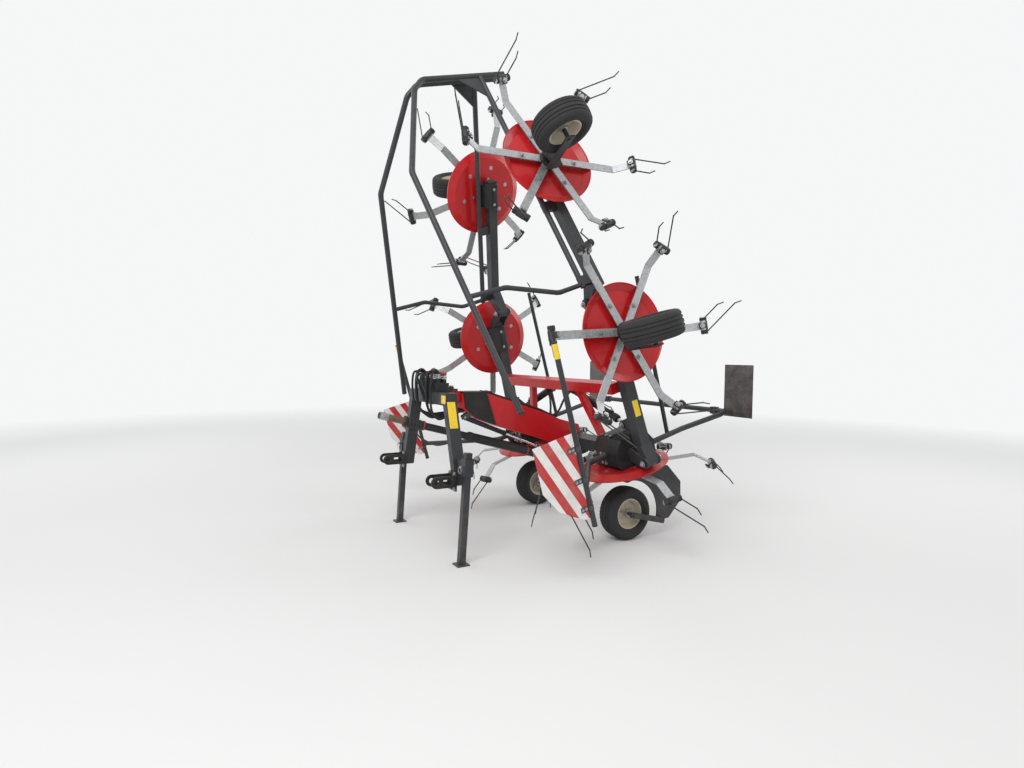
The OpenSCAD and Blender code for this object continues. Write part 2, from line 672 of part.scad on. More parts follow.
module barrel(s) color(BLACK) along_cylinder(s) difference() {
    union() {
        translate([0, 0, 40]) cylinder(d = barrel_d, h = barrel_len() - 40);
        rotate([90, 0, 0]) cylinder(r = 30, h = 40, center = true);
        translate([-20, -20, 0]) cube([40, 40, 60]);
    }
    rotate([90, 0, 0]) cylinder(r = 14 + fit, h = 80, center = true);
    translate([0, 0, 60]) cylinder(d = rod_d + 2 * fit, h = barrel_len());
}

module rod(s) color(STEEL) along_cylinder(s) {
    translate([0, 0, 70]) cylinder(d = rod_d, h = cylinder_len() - 70 - 20);
    translate([0, 0, cylinder_len()]) rotate([90, 0, 0]) cylinder(r = 28, h = 28, center = true);
}

// Headstock, upright and steering on the pin in the main beam's head
module in_headstock() translate([0, origin_ahead - headstock_ahead, 0]) children();

module headstock() color(GRAPHITE) in_headstock() {
    swivel_y = headstock_ahead - swivel_ahead;
    for (s = [1, -1]) {
        flat_bar([s * (mast_x - 30), 0, mast_z - 10], [s * (link_x + 12), 0, link_z - 40], 84, 60);
        translate([s > 0 ? link_x - 35 : -stand_x + 25, -20, link_z + 60]) cube([stand_x - link_x + 10, 40, 80]);
        leaning(s) difference() {
            translate([-32, -32, link_z + 40]) cube([64, 64, 120]);
            translate([-stand_s / 2 - 0.5, -stand_s / 2 - 0.5, link_z]) cube([stand_s + 1, stand_s + 1, 200]);
        }
    }
    translate([-mast_x, -45, mast_z - 44]) cube([2 * mast_x, 90, 88]);
    for (x = [-46, 34]) translate([x, 0, 0]) rotate([90, 0, 90]) linear_extrude(12) difference() {
        union() {
            translate([-78, link_top_z]) circle(r = 36);
            polygon([[-112, link_top_z], [-44, link_top_z], [40, mast_z + 20], [40, mast_z - 40],
                [-45, mast_z - 40]]);
        }
        translate([-78, link_top_z]) circle(r = top_pin_r + fit);
    }
    for (z = [swivel_low - seat - 16, swivel_high + seat]) {
        translate([-44, -20, z]) cube([88, swivel_y + 20, 16]);
        translate([0, swivel_y, z]) cylinder(r = 50, h = 16);
    }
    translate([0, swivel_y, swivel_low - 30]) cylinder(r = swivel_r, h = swivel_high - swivel_low + 60);
}

// Lower link clevises, each of two rounded plates with a long window behind the pin
module link_brackets() color(BLACK) in_headstock() for (s = [1, -1]) {
    translate([s * link_x - 54, -54, link_z - 70]) cube([108, 12 - seat, 130]);
    for (k = [-1, 1]) translate([s * link_x + k * 48 - 6, 0, 0]) rotate([90, 0, 90]) linear_extrude(12) difference() {
        union() {
            translate([-188, link_z]) circle(r = 40);
            translate([-188, link_z - 40]) square([138, 80]);
        }
        translate([-188, link_z]) circle(r = link_pin_r + fit);
        translate([-142, link_z - 17]) square([72, 34]);
    }
}

// Blocks that park the hose couplings, on the headstock's top beam
module hose_blocks() color(BLACK) in_headstock() for (s = [1, -1]) {
    translate([s * 125 - 62, -38, mast_z + 44 + seat]) cube([124, 96, 66]);
    for (x = [-36, 0, 36], y = [-12, 34]) translate([s * 125 + x, y, mast_z + 100]) cylinder(d = 27, h = 38);
}

// Stands a leg's own frame on its foot, with the top leaning back
module leaning(s) translate([s * stand_x, -34, 0]) rotate([-stand_lean, 0, 0]) children();

module stand(s) color(GRAPHITE) in_headstock() {
    t = stand_s / 2;
    leaning(s) translate([-t, -t, 6]) cube([stand_s, stand_s, stand_len - 6]);
    translate([s * stand_x - 45, -34 - 45, 0]) cube([90, 90, 8]);
}

// Drive shaft, from its free front yoke to the centre gearbox
shaft_rear = [0, -275, 80];
guard_front = [0, -1390, 755];
shaft_along = unit(guard_front - shaft_rear);
guard_rear = shaft_rear + shaft_along * 80;
shaft_front = guard_front + shaft_along * 199;

module shaft_guard() color(BLACK) in_frame() bar(guard_rear, guard_front, shaft_guard_d);

module shaft_core() color(STEEL) in_frame() {
    bar(shaft_rear + shaft_along * seat, guard_rear - shaft_along * seat, 50);
    difference() {
        bar(guard_front + shaft_along * seat, shaft_front, 50);
        bar(shaft_front - shaft_along * 60, shaft_front + shaft_along, yoke_bore_d);
    }
}

main_beam();
a_frame();
inner_booms();
inner_gearboxes();
inner_wheel_legs();
rear_guard();
front_guards();
warning_boards();
rear_boards();
beam_cover();
shaft_guard();
shaft_core();
headstock();
link_brackets();
hose_blocks();
stand(1);  // stand_left
stand(-1);  // stand_right
barrel(1);  // barrel_left
barrel(-1);  // barrel_right
rod(1);  // rod_left
rod(-1);  // rod_right
middle_boom(1);  // middle_boom_left
middle_boom(-1);  // middle_boom_right
middle_gearbox(1);  // middle_gearbox_left
middle_gearbox(-1);  // middle_gearbox_right
middle_leg(1);  // middle_leg_left
middle_leg(-1);  // middle_leg_right
outer_boom(1);  // outer_boom_left
outer_boom(-1);  // outer_boom_right
outer_gearbox(1);  // outer_gearbox_left
outer_gearbox(-1);  // outer_gearbox_right
outer_leg(1);  // outer_leg_left
outer_leg(-1);  // outer_leg_right
outer_guard(1);  // outer_guard_left
outer_guard(-1);  // outer_guard_right
disc(INNER_LEFT);  // disc_inner_left
disc(MIDDLE_LEFT);  // disc_middle_left
disc(OUTER_LEFT);  // disc_outer_left
disc(INNER_RIGHT);  // disc_inner_right
disc(MIDDLE_RIGHT);  // disc_middle_right
disc(OUTER_RIGHT);  // disc_outer_right
tines(INNER_LEFT);  // tines_inner_left
tines(MIDDLE_LEFT);  // tines_middle_left
tines(OUTER_LEFT);  // tines_outer_left
tines(INNER_RIGHT);  // tines_inner_right
tines(MIDDLE_RIGHT);  // tines_middle_right
tines(OUTER_RIGHT);  // tines_outer_right
tyre(INNER_LEFT);  // tyre_inner_left
tyre(MIDDLE_LEFT);  // tyre_middle_left
tyre(OUTER_LEFT);  // tyre_outer_left
tyre(INNER_RIGHT);  // tyre_inner_right
tyre(MIDDLE_RIGHT);  // tyre_middle_right
tyre(OUTER_RIGHT);  // tyre_outer_right
rim(INNER_LEFT);  // rim_inner_left
rim(MIDDLE_LEFT);  // rim_middle_left
rim(OUTER_LEFT);  // rim_outer_left
rim(INNER_RIGHT);  // rim_inner_right
rim(MIDDLE_RIGHT);  // rim_middle_right
rim(OUTER_RIGHT);  // rim_outer_right
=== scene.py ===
# Looks of a six-rotor hay tedder, folded upright and parked on its stands and inner wheels.
# Metres, Z up, travel towards -Y, the same frame as the CAD model.
import json
import math

import bmesh
import bpy
from bpy.props import FloatProperty, FloatVectorProperty, IntProperty, PointerProperty
from mathutils import Matrix, Vector


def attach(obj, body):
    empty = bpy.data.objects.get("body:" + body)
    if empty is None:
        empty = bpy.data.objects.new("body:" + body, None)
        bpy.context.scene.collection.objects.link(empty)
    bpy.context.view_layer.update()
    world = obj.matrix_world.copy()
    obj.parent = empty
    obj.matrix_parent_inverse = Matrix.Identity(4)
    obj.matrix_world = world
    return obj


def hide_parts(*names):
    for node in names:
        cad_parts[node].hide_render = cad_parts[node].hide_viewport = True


bl_info = {
    "name": "Hay tedder looks",
    "version": (1, 0, 0),
    "blender": (4, 5, 0),
    "location": "3D View > Sidebar > Tedder",
    "description": "Dresses the packed hay tedder with its paint, tyres, spring coils and fittings",
    "category": "Object",
}

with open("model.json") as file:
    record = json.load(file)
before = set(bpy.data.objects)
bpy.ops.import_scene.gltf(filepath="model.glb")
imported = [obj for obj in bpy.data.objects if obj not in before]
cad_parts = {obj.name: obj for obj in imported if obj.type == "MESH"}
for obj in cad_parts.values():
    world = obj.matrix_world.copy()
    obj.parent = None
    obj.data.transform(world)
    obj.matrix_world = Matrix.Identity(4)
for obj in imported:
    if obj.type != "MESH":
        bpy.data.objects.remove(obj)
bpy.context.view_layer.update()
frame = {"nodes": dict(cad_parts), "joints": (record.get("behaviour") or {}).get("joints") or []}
JOINTS = {joint["name"]: joint for joint in frame["joints"]}
SIDES = {"left": 1, "right": -1}
SECTIONS = ("inner", "middle", "outer")

# Sizes shared with the construction source, in metres and degrees
ARM_COUNT = 6
ROTOR_PITCH = 1.295
FRAME_TILT = 16
ORIGIN_AHEAD = 0.395
ROTOR_PLANE_H = 0.58
FOLD_HINGE = (0.985, 0.09)
FOLD_ANGLE = 95.5
TIP_HINGE = (2.2, 0.285)
TIP_ANGLE = 18
ARM_START = 48
ARM_BEND_R = 0.54
ARM_END_LEN = 0.152
ARM_END_DROP = 37
ARM_END_TRAIL = 3
ARM_T = 0.008
HOLDER_LEN = 0.062
COIL_LEN = 0.032
COIL_R = 0.022
WIRE_R = 0.0047
TYRE_R = 0.205
TYRE_W = 0.165
RIM_R = 0.118
BOOM_H = 0.132
MIDDLE_BOOM_S = 0.084
HEADSTOCK_Y = ORIGIN_AHEAD - 1.325
SWIVEL_Y = ORIGIN_AHEAD - 1.165
LINK_Z = 0.56
LINK_X = 0.505
MAST_Z = 1.1
STAND_X = 0.617
STAND_LEAN = 3.5
POST_X = 0.5 * ROTOR_PITCH + 0.717
POST_AHEAD = 0.832
REAR_UPRIGHT_X = 0.5 * ROTOR_PITCH + 0.13
REAR_BOARD_X = REAR_UPRIGHT_X + 0.004
SHAFT_REAR = Vector((0, -0.275, 0.08))
SHAFT_FRONT = Vector((0, -1.39, 0.755))
CYLINDER_Y = 0.03
BARREL_PIN = (0.105, 0.59)
ROD_EYE = (0.27, 0.22)
ROD_SHOW = 0.056


# Places

def turn(angle, axis):
    return Matrix.Rotation(math.radians(angle), 4, axis)


def move(x, y, z):
    return Matrix.Translation((x, y, z))


FRAME = move(0, ORIGIN_AHEAD, ROTOR_PLANE_H) @ turn(FRAME_TILT, "X")
ACROSS = turn(90, "Z") @ turn(90, "X")


def fold_up(hinge, angle):
    """Turns a section up by an angle about a hinge, given as its place across and its height."""
    x, h = hinge
    return move(x, 0, h) @ turn(-angle, "Y") @ move(-x, 0, -h)


def points_at(place, points):
    return [place @ Vector(point) for point in points]


def in_section(side, section):
    """Matrix from the flat working position of a wing section to where it stands folded."""
    place = FRAME.copy()
    if section >= 1:
        place = place @ fold_up(FOLD_HINGE, FOLD_ANGLE)
    if section == 2:
        place = place @ fold_up(TIP_HINGE, TIP_ANGLE)
    return Matrix.Diagonal((side, 1, 1, 1)) @ place


def rotors():
    """Each rotor's side as 1 or -1, the number of its section and its name."""
    for side, sign in SIDES.items():
        for section, word in enumerate(SECTIONS):
            yield sign, section, word + "_" + side


def rotor_place(side, section):
    return in_section(side, section) @ move((section + 0.5) * ROTOR_PITCH, 0, 0)


def arm_places(side, section):
    """Matrices of a rotor's arms, each with X along its arm."""
    if side > 0:
        first = 90 - ARM_START if section == 1 else ARM_START
    else:
        first = 60 - ARM_START if section == 1 else ARM_START - 30
    for arm in range(ARM_COUNT):
        yield rotor_place(side, section) @ turn(first + arm * 360 / ARM_COUNT, "Z")


def holder_place(arm, section):
    """Matrix of the tine holder at the end of an arm, with Y along its bolt."""
    trail = -ARM_END_TRAIL if section == 1 else ARM_END_TRAIL
    return (arm @ move(ARM_BEND_R - 0.002, 0, -ARM_T / 2) @ turn(trail, "Z") @ turn(ARM_END_DROP, "Y")
            @ move(ARM_END_LEN, 0, -ARM_T / 2))


def facing(direction, at):
    """Matrix whose Z looks along a direction, at a place."""
    return Matrix.Translation(at) @ Vector(direction).to_track_quat("Z", "Y").to_matrix().to_4x4()


def wheels():
    """Each wheel's name, centre and direction of its axle."""
    for _, _, name in rotors():
        joint = JOINTS["wheel_%s_spin" % name]
        yield name, Vector(joint["pos_m"]), Vector(joint["axis"]).normalized()


# Materials

class Value:
    """A node's output that takes part in sums, each sum a Math node."""

    def __init__(self, look, socket):
        self.look = look
        self.socket = socket

    def _math(self, operation, a, b=0.0, clamp=False):
        settings = {"operation": operation, "use_clamp": clamp}
        return self.look.node("ShaderNodeMath", settings, {0: a, 1: b})

    def __add__(self, other):
        return self._math("ADD", self, other)

    __radd__ = __add__

    def __sub__(self, other):
        return self._math("SUBTRACT", self, other)

    def __rsub__(self, other):
        return self._math("SUBTRACT", other, self)

    def __mul__(self, other):
        return self._math("MULTIPLY", self, other)

    __rmul__ = __mul__

    def __truediv__(self, other):
        return self._math("DIVIDE", self, other)

    def __mod__(self, other):
        return self._math("FLOORED_MODULO", self, other)

    def above(self, limit, width):
        """0 below a limit and 1 above it, with an edge of that width."""
        return self._math("MULTIPLY", self - (limit - width / 2), 1 / width, clamp=True)

    def below(self, limit, width):
        return 1 - self.above(limit, width)

    def larger(self, other):
        return self._math("MAXIMUM", self, other)

    def size(self):
        return self._math("ABSOLUTE", self)


class Nodes:
    """A node tree while it is made."""

    def __init__(self, tree):
        self.tree = tree

    def node(self, kind, settings=None, values=None, out=0):
        made = self.tree.nodes.new(kind)
        for key, value in (settings or {}).items():
            setattr(made, key, value)
        for key, value in (values or {}).items():
            if isinstance(value, Value):
                self.tree.links.new(value.socket, made.inputs[key])
            else:
                made.inputs[key].default_value = value
        return Value(self, made.outputs[out])


# Finished materials by name, kept apart from plain ones of the same name that the nodes bring
LOOKS = {}


class Look(Nodes):
    """One material while it is made: its surface shader and the nodes before it."""

    def __init__(self, name):
        self.material = LOOKS[name] = bpy.data.materials.new(name)
        self.material.use_nodes = True
        super().__init__(self.material.node_tree)
        self.surface = self.tree.nodes["Principled BSDF"]
        self.place = self.node("ShaderNodeTexCoord", out="Object")

    def noise(self, scale, detail, rough=0.55, stretch=None):
        place = self.place
        if stretch:
            place = self.node("ShaderNodeMapping", {}, {0: place, "Scale": stretch})
        return self.node("ShaderNodeTexNoise", {},
                         {"Vector": place, "Scale": scale, "Detail": detail, "Roughness": rough})

    def mix(self, share, a, b):
        a, b = (value if isinstance(value, Value) else rgba(value) for value in (a, b))
        return self.node("ShaderNodeMix", {"data_type": "RGBA"}, {0: share, 6: a, 7: b}, out=2)

    def axis(self, index):
        """Where a point lies along one axis."""
        return self.node("ShaderNodeSeparateXYZ", {}, {0: self.place}, out=index)

    def normal(self, index):
        """How far faces look along one axis."""
        normal = self.node("ShaderNodeNewGeometry", out="Normal")
        return self.node("ShaderNodeSeparateXYZ", {}, {0: normal}, out=index)

    def upward(self):
        """1 on faces that look up, 0 on the others."""
        return self.normal(2).above(0.55, 0.5)

    def bump(self, height, strength, distance):
        return self.node("ShaderNodeBump", {},
                         {"Height": height, "Strength": strength, "Distance": distance})

    def cells(self, scale, settings=None, out="Distance"):
        """Cells of about one size, as a distance or as a colour for each cell."""
        values = {"Vector": self.place, "Scale": scale}
        return self.node("ShaderNodeTexVoronoi", settings, values, out=out)

    def vector(self, operation, a, b=(0, 0, 0), out="Vector"):
        return self.node("ShaderNodeVectorMath", {"operation": operation}, {0: a, 1: b}, out=out)

    def tones(self, share, colour, dark, light):
        """A colour that goes from a darker to a lighter tone of itself."""
        return self.mix(share, shade(colour, dark), shade(colour, light))

    def set(self, **sockets):
        """Puts values or links on the surface shader; underscores in the names stand for spaces."""
        for key, value in sockets.items():
            socket = self.surface.inputs[key.replace("_", " ")]
            if isinstance(value, Value):
                self.tree.links.new(value.socket, socket)
            else:
                socket.default_value = rgba(value) if socket.type == "RGBA" else value
        return self.material


def rgba(colour):
    return (*colour[:3], 1.0)


def shade(colour, amount):
    return [channel * amount for channel in colour[:3]]


DUST = (0.30, 0.25, 0.19)
RUST = (0.16, 0.055, 0.02)
PRIMER = (0.09, 0.075, 0.065)
SOIL = (0.10, 0.078, 0.055)
BACKDROP = (0.92, 0.925, 0.93)
BARE_BOARD = (0.035, 0.036, 0.038)
ZINC_BLOOM = (0.55, 0.55, 0.54)
HOLDER_DARK = (0.02, 0.02, 0.021)
HOLDER_WORN = (0.035, 0.034, 0.033)
HUB_R = 0.07
HOLDERS_FROM = 0.652


def paint(name, colour, dust, chips, gloss, coat):
    """Sprayed paint with orange peel, faded patches, dust on top, grime low down and chips."""
    look = Look(name)
    patches = look.noise(3.2, 4)
    fine = look.noise(55, 3)
    speck = look.noise(140, 2, 0.6)
    colour_now = look.tones(patches.above(0.5, 0.5), colour, 0.8, 1.12)
    dusty = (look.upward() * 0.75 + 0.25) * look.noise(9, 5, 0.65).above(0.52, 0.35) * dust
    low = look.axis(2).below(0.35, 0.6) * look.noise(14, 5, 0.7).above(0.5, 0.25) * dust
    soiled = look.mix(dusty.larger(low), colour_now, DUST)
    chipped = speck.above(0.755 - 0.05 * chips, 0.015) * fine.above(0.5, 0.05) * chips
    return look.set(Base_Color=look.mix(chipped, soiled, PRIMER), Specular_IOR_Level=0.32,
                    Roughness=dusty * 0.5 + fine * 0.12 + gloss,
                    Coat_Weight=(1 - dusty) * coat, Coat_Roughness=0.12,
                    Normal=look.bump(fine * 0.5 + speck * 0.15 - chipped, 0.12, 0.002))


def tine_finish(name, colour):
    """Zinc arms, black holders and dark spring wire on one node, told apart by their radius."""
    joint = JOINTS["rotor_%s_spin" % name]
    look = Look("tines_" + name)
    from_centre = look.vector("SUBTRACT", look.place, joint["pos_m"])
    radius = look.vector("LENGTH", look.vector("CROSS_PRODUCT", from_centre, joint["axis"]), out="Value")
    grain = look.node("ShaderNodeSeparateColor", {}, {0: look.cells(85.0, out="Color")})
    bloom = look.noise(16, 5, 0.65).above(0.55, 0.3)
    rust = look.noise(38, 4, 0.7).above(0.70, 0.05)
    spangle = look.tones(grain, colour, 0.8, 1.12)
    arm = look.mix(rust * 0.6, look.mix(bloom * 0.3, spangle, ZINC_BLOOM), RUST)
    dark = look.mix(rust, look.mix(bloom, HOLDER_DARK, HOLDER_WORN), RUST)
    covered = radius.below(HUB_R, 0.002).larger(radius.above(HOLDERS_FROM, 0.004))
    return look.set(Base_Color=look.mix(covered, arm, dark), Metallic=(1 - covered) * 0.75 + 0.1,
                    Roughness=grain * 0.1 + bloom * 0.15 + 0.38,
                    Normal=look.bump(look.noise(60, 3) + grain * 0.2, 0.1, 0.001))


def bare_metal(name, colour, rough, rust_share=0.3, metallic=1.0):
    """Bare or plated steel, with fine wear lines and rust in patches."""
    look = Look(name)
    lines = look.noise(60, 4, 0.6, stretch=(1, 1, 8))
    rust = look.noise(22, 6, 0.7).above(0.66 - 0.12 * rust_share, 0.08) * rust_share
    base = look.mix(rust, look.tones(lines, colour, 0.75, 1.15), RUST)
    return look.set(Base_Color=base, Metallic=metallic - rust * 0.8,
                    Roughness=lines * 0.15 + rust * 0.4 + rough, Normal=look.bump(lines, 0.08, 0.0005))


def moulded(name, colour, rough, dust=0.3):
    """Moulded plastic or rubber with a fine grain and dust."""
    look = Look(name)
    grain = look.noise(420, 2)
    dusty = look.noise(8, 5, 0.65).above(0.5, 0.4) * (look.upward() * 0.6 + 0.4) * dust
    faded = look.tones(look.noise(6, 3), colour, 0.8, 1.25)
    return look.set(Base_Color=look.mix(dusty, faded, DUST), Roughness=dusty * 0.3 + grain * 0.1 + rough,
                    Normal=look.bump(grain, 0.15, 0.0006))


def tyre_rubber(name, colour):
    """Weathered tyre rubber, brown with soil in random patches."""
    look = Look(name)
    soil = look.noise(17, 6, 0.7).above(0.5, 0.3)
    fine = look.noise(160, 3)
    worn = look.tones(fine, colour, 0.75, 1.35)
    return look.set(Base_Color=look.mix(soil * 0.55, worn, SOIL), Roughness=soil * 0.15 + 0.72,
                    Normal=look.bump(fine, 0.25, 0.001))


def striped(name, red, white, period, across, up, shift, bare_to=0):
    """Red and white diagonal stripes with a fine reflective honeycomb, scuffed and dusty.

    With bare_to given, they only cover faces that look back and lie further than that from the
    centre line."""
    look = Look(name)
    level = look.axis(0).size() if bare_to else look.axis(1) - ORIGIN_AHEAD
    phase = ((level * across + (look.axis(2) - ROTOR_PLANE_H) * up) / period + shift) % 1.0
    base = look.mix(phase.above(0.25, 0.02) * phase.below(0.75, 0.02), white, red)
    if bare_to:
        bare = look.normal(1).below(0.3, 0.1).larger(level.below(bare_to, 0.001))
        base = look.mix(bare, base, BARE_BOARD)
    cells = look.cells(220.0, {"feature": "DISTANCE_TO_EDGE"})
    scuff = look.noise(11, 6, 0.7).above(0.56, 0.25)
    base = look.mix(cells.below(0.06, 0.04) * 0.12, base, shade(white, 0.55))
    return look.set(Base_Color=look.mix(scuff * 0.3, base, DUST), Roughness=scuff * 0.25 + 0.28,
                    Coat_Weight=0.2, Normal=look.bump(cells, 0.05, 0.0004))


def label_film(name, colour):
    """Blank sticker film with dust and fine scratches in random patches."""
    look = Look(name)
    scuff = look.noise(40, 6, 0.7).above(0.58, 0.2)
    return look.set(Base_Color=look.mix(scuff * 0.35, colour, DUST), Roughness=scuff * 0.3 + 0.3,
                    Coat_Weight=0.15)


def floor_surface(name, colour):
    """Plain pale floor that keeps the shadow of the machine and fades into the backdrop."""
    look = Look(name)
    fine = look.noise(25, 3)
    look.set(Base_Color=look.tones(fine, colour, 0.985, 1), Roughness=0.9)
    distance = look.vector("LENGTH", look.place, out="Value")
    glow = look.node("ShaderNodeEmission", {}, {"Color": rgba(BACKDROP), "Strength": 1.0})
    both = look.node("ShaderNodeMixShader", {}, {0: distance.above(8, 8), 2: glow})
    look.tree.links.new(look.surface.outputs[0], both.socket.node.inputs[1])
    look.tree.links.new(both.socket, look.tree.nodes["Material Output"].inputs["Surface"])
    return look.material


# Mesh helpers

HEX_R = 0.577


def new_meshes(count):
    """Empty meshes, each for one piece or group of like pieces."""
    return [bmesh.new() for _ in range(count)]


def edges_of(verts):
    return {edge for vert in verts for edge in vert.link_edges}


def round_edges(mesh, edges, width, segments=2):
    bmesh.ops.bevel(mesh, geom=list(edges), offset=width, segments=segments, profile=0.5, material=-1,
                    affect="EDGES")


def prism(mesh, place, radius, depth, segments):
    """Plain upright prism or cylinder, centred at the place. Gives its corners."""
    return bmesh.ops.create_cone(mesh, cap_ends=True, segments=segments, radius1=radius, radius2=radius,
                                 depth=depth, matrix=place)["verts"]


def bolt_head(mesh, place, across, height):
    """Hexagon bolt head with its washer, seated at the place and looking along its Z."""
    base = 0.002
    prism(mesh, place @ move(0, 0, 0.0008), across * 0.95, 0.0024, 16)
    corners = prism(mesh, place @ move(0, 0, base + height / 2), across * HEX_R, height, 6)
    top = place @ Vector((0, 0, base + height))
    rims = [edge for edge in edges_of(corners)
            if all((vert.co - top).length < across * 0.7 for vert in edge.verts)]
    round_edges(mesh, rims, across * 0.07, 1)


def hex_nut(mesh, place, across, height):
    """Hexagon nut seated at the place, with its edges broken."""
    corners = prism(mesh, place @ move(0, 0, height / 2), across * HEX_R, height, 6)
    round_edges(mesh, edges_of(corners), across * 0.05, 1)


def block(mesh, place, size, bevel=0.003, segments=2):
    """Box with rounded edges, centred at the place."""
    made = bmesh.ops.create_cube(mesh, size=1, matrix=place @ Matrix.Diagonal((*size, 1)))
    round_edges(mesh, edges_of(made["verts"]), bevel, segments)


def drum(mesh, place, radius, depth, segments, bevel=0.002):
    """Round disc or rod with rounded rims, centred at the place along its Z."""
    edges = edges_of(prism(mesh, place, radius, depth, segments))
    round_edges(mesh, [edge for edge in edges if any(len(face.verts) > 4 for face in edge.link_faces)],
                bevel)


def rod(mesh, start, end, radius, segments=24):
    """Round bar from one point to another."""
    drum(mesh, facing(end - start, (start + end) / 2), radius, (end - start).length, segments, 0.001)


def centre_and_axis(place):
    centre = place @ Vector((0, 0, 0))
    return centre, (place @ Vector((0, 0, 1)) - centre).normalized()


def lathe(mesh, place, outline, steps):
    """Turned shape: a closed outline of radius and height spun round the place's Z."""
    verts = [mesh.verts.new(place @ Vector((radius, 0, height))) for radius, height in outline]
    edges = [mesh.edges.new((a, b)) for a, b in zip(verts, verts[1:] + verts[:1])]
    centre, axis = centre_and_axis(place)
    bmesh.ops.spin(mesh, geom=verts + edges, cent=centre, axis=axis, angle=math.tau, steps=steps,
                   use_merge=True)


def sleeve(mesh, place, inner, outer, low, high, steps=28):
    """Plain turned ring between two radii and two heights."""
    lathe(mesh, place, [(inner, low), (outer, low), (outer, high), (inner, high)], steps)


def smooth_path(points, steps):
    """Points along one smooth curve through the given ones."""
    points = [Vector(point) for point in points]
    ends = [2 * points[0] - points[1], *points, 2 * points[-1] - points[-2]]
    path = []
    for a, b, c, d in zip(ends, ends[1:], ends[2:], ends[3:]):
        for step in range(steps):
            t = step / steps
            path.append(0.5 * (2 * b + (c - a) * t + (2 * a - 5 * b + 4 * c - d) * t * t
                               + (3 * b - a - 3 * c + d) * t ** 3))
    return path + [points[-1]]


def hose(mesh, points, radius, sides=10, steps=7):
    """Round hose or wire along a smooth curve, closed at both ends."""
    path = smooth_path(points, steps)
    ways = [(b - a).normalized() for a, b in zip(path, path[1:])]
    ways = [ways[0], *[(a + b).normalized() for a, b in zip(ways, ways[1:])], ways[-1]]
    place = facing(ways[0], path[0])
    ring = bmesh.ops.create_circle(mesh, cap_ends=True, segments=sides, radius=radius, matrix=place)
    edges = list(edges_of(ring["verts"]))
    for before, way, at in zip(ways, ways[1:], path[1:]):
        swing = before.rotation_difference(way).to_matrix().to_4x4()
        new_place = move(*at) @ swing @ place.to_3x3().to_4x4()
        made = bmesh.ops.extrude_edge_only(mesh, edges=edges)["geom"]
        verts = [item for item in made if isinstance(item, bmesh.types.BMVert)]
        edges = [item for item in made if isinstance(item, bmesh.types.BMEdge)]
        bmesh.ops.transform(mesh, matrix=new_place @ place.inverted(), verts=verts)
        place = new_place
    bmesh.ops.edgeloop_fill(mesh, edges=edges)


def plate(mesh, place, outline, depth, bevel):
    """Flat plate cut to an outline, pushed to its depth along the place's Z."""
    face = mesh.faces.new([mesh.verts.new(place @ Vector((x, y, 0))) for x, y in outline])
    made = bmesh.ops.extrude_face_region(mesh, geom=[face])["geom"]
    verts = [item for item in made if isinstance(item, bmesh.types.BMVert)]
    bmesh.ops.translate(mesh, verts=verts, vec=place.to_3x3() @ Vector((0, 0, depth)))
    round_edges(mesh, edges_of([*verts, *face.verts]), bevel, 1)


def piece(name, mesh, look, body, angle=38):
    """Makes the finished object from a bmesh, in a look, and lets it ride on its body."""
    bmesh.ops.remove_doubles(mesh, verts=mesh.verts, dist=1e-6)
    bmesh.ops.recalc_face_normals(mesh, faces=mesh.faces)
    data = bpy.data.meshes.new(name)
    mesh.to_mesh(data)
    mesh.free()
    data.shade_smooth()
    data.set_sharp_from_angle(angle=math.radians(angle))
    made = bpy.data.objects.new(name, data)
    bpy.context.scene.collection.objects.link(made)
    # Found by name, so a plain material of that name comes first where the nodes bring one
    data.materials.append(bpy.data.materials[look])
    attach(made, body)
    return made


# Settings that a user would change

def colour_setting(name, description, default):
    return FloatVectorProperty(name=name, description=description, subtype="COLOR", size=3,
                               default=default)


class TedderColours(bpy.types.PropertyGroup):
    red: colour_setting("Red paint", "Paint of the rotor discs and the main beam", (0.50, 0.004, 0.008))
    graphite: colour_setting("Graphite paint", "Paint of the booms and guards", (0.028, 0.031, 0.036))
    black: colour_setting("Black paint", "Paint of the gearbox covers", (0.010, 0.0105, 0.012))
    zinc: colour_setting("Zinc", "Colour of the galvanised tine arms", (0.42, 0.43, 0.44))
    cream: colour_setting("Rim paint", "Paint of the wheel rims", (0.56, 0.50, 0.38))
    yellow: colour_setting("Label yellow", "Colour of the blank labels", (0.86, 0.60, 0.02))
    board_white: colour_setting("Board white", "White of the warning boards", (0.80, 0.79, 0.76))
    floor: colour_setting("Floor", "Colour of the floor", (0.76, 0.76, 0.755))


class TedderSizes(bpy.types.PropertyGroup):
    rib_depth: FloatProperty(name="Rib depth", description="Depth of the tyre's grooves", unit="LENGTH",
                             default=0.006, min=0.002, max=0.01)
    tread_blocks: IntProperty(name="Tread blocks", description="Number of blocks round a tyre",
                              default=48, min=24, max=72)
    coil_turns: FloatProperty(name="Coil turns", description="Turns of wire in each tine coil",
                              default=3.4, min=2, max=5)
    stripe: FloatProperty(name="Stripe width", description="Pitch of the stripes on the warning boards",
                          unit="LENGTH", default=0.106, min=0.05, max=0.4)


# Operators

NODE_LOOKS = {
    "red_paint": ("disc", "main_beam", "a_frame"),
    "rim_paint": ("rim",),
    "chrome": ("rod",),
    "board_stripes": ("warning_boards",),
    "rear_board_stripes": ("rear_boards",),
    "guard_plastic": ("shaft_guard",),
    "worn_shaft": ("shaft_core",),
    "black_paint": ("inner_gearboxes", "middle_gearbox", "outer_gearbox", "barrel", "link_brackets",
                    "hose_blocks", "beam_cover"),
}


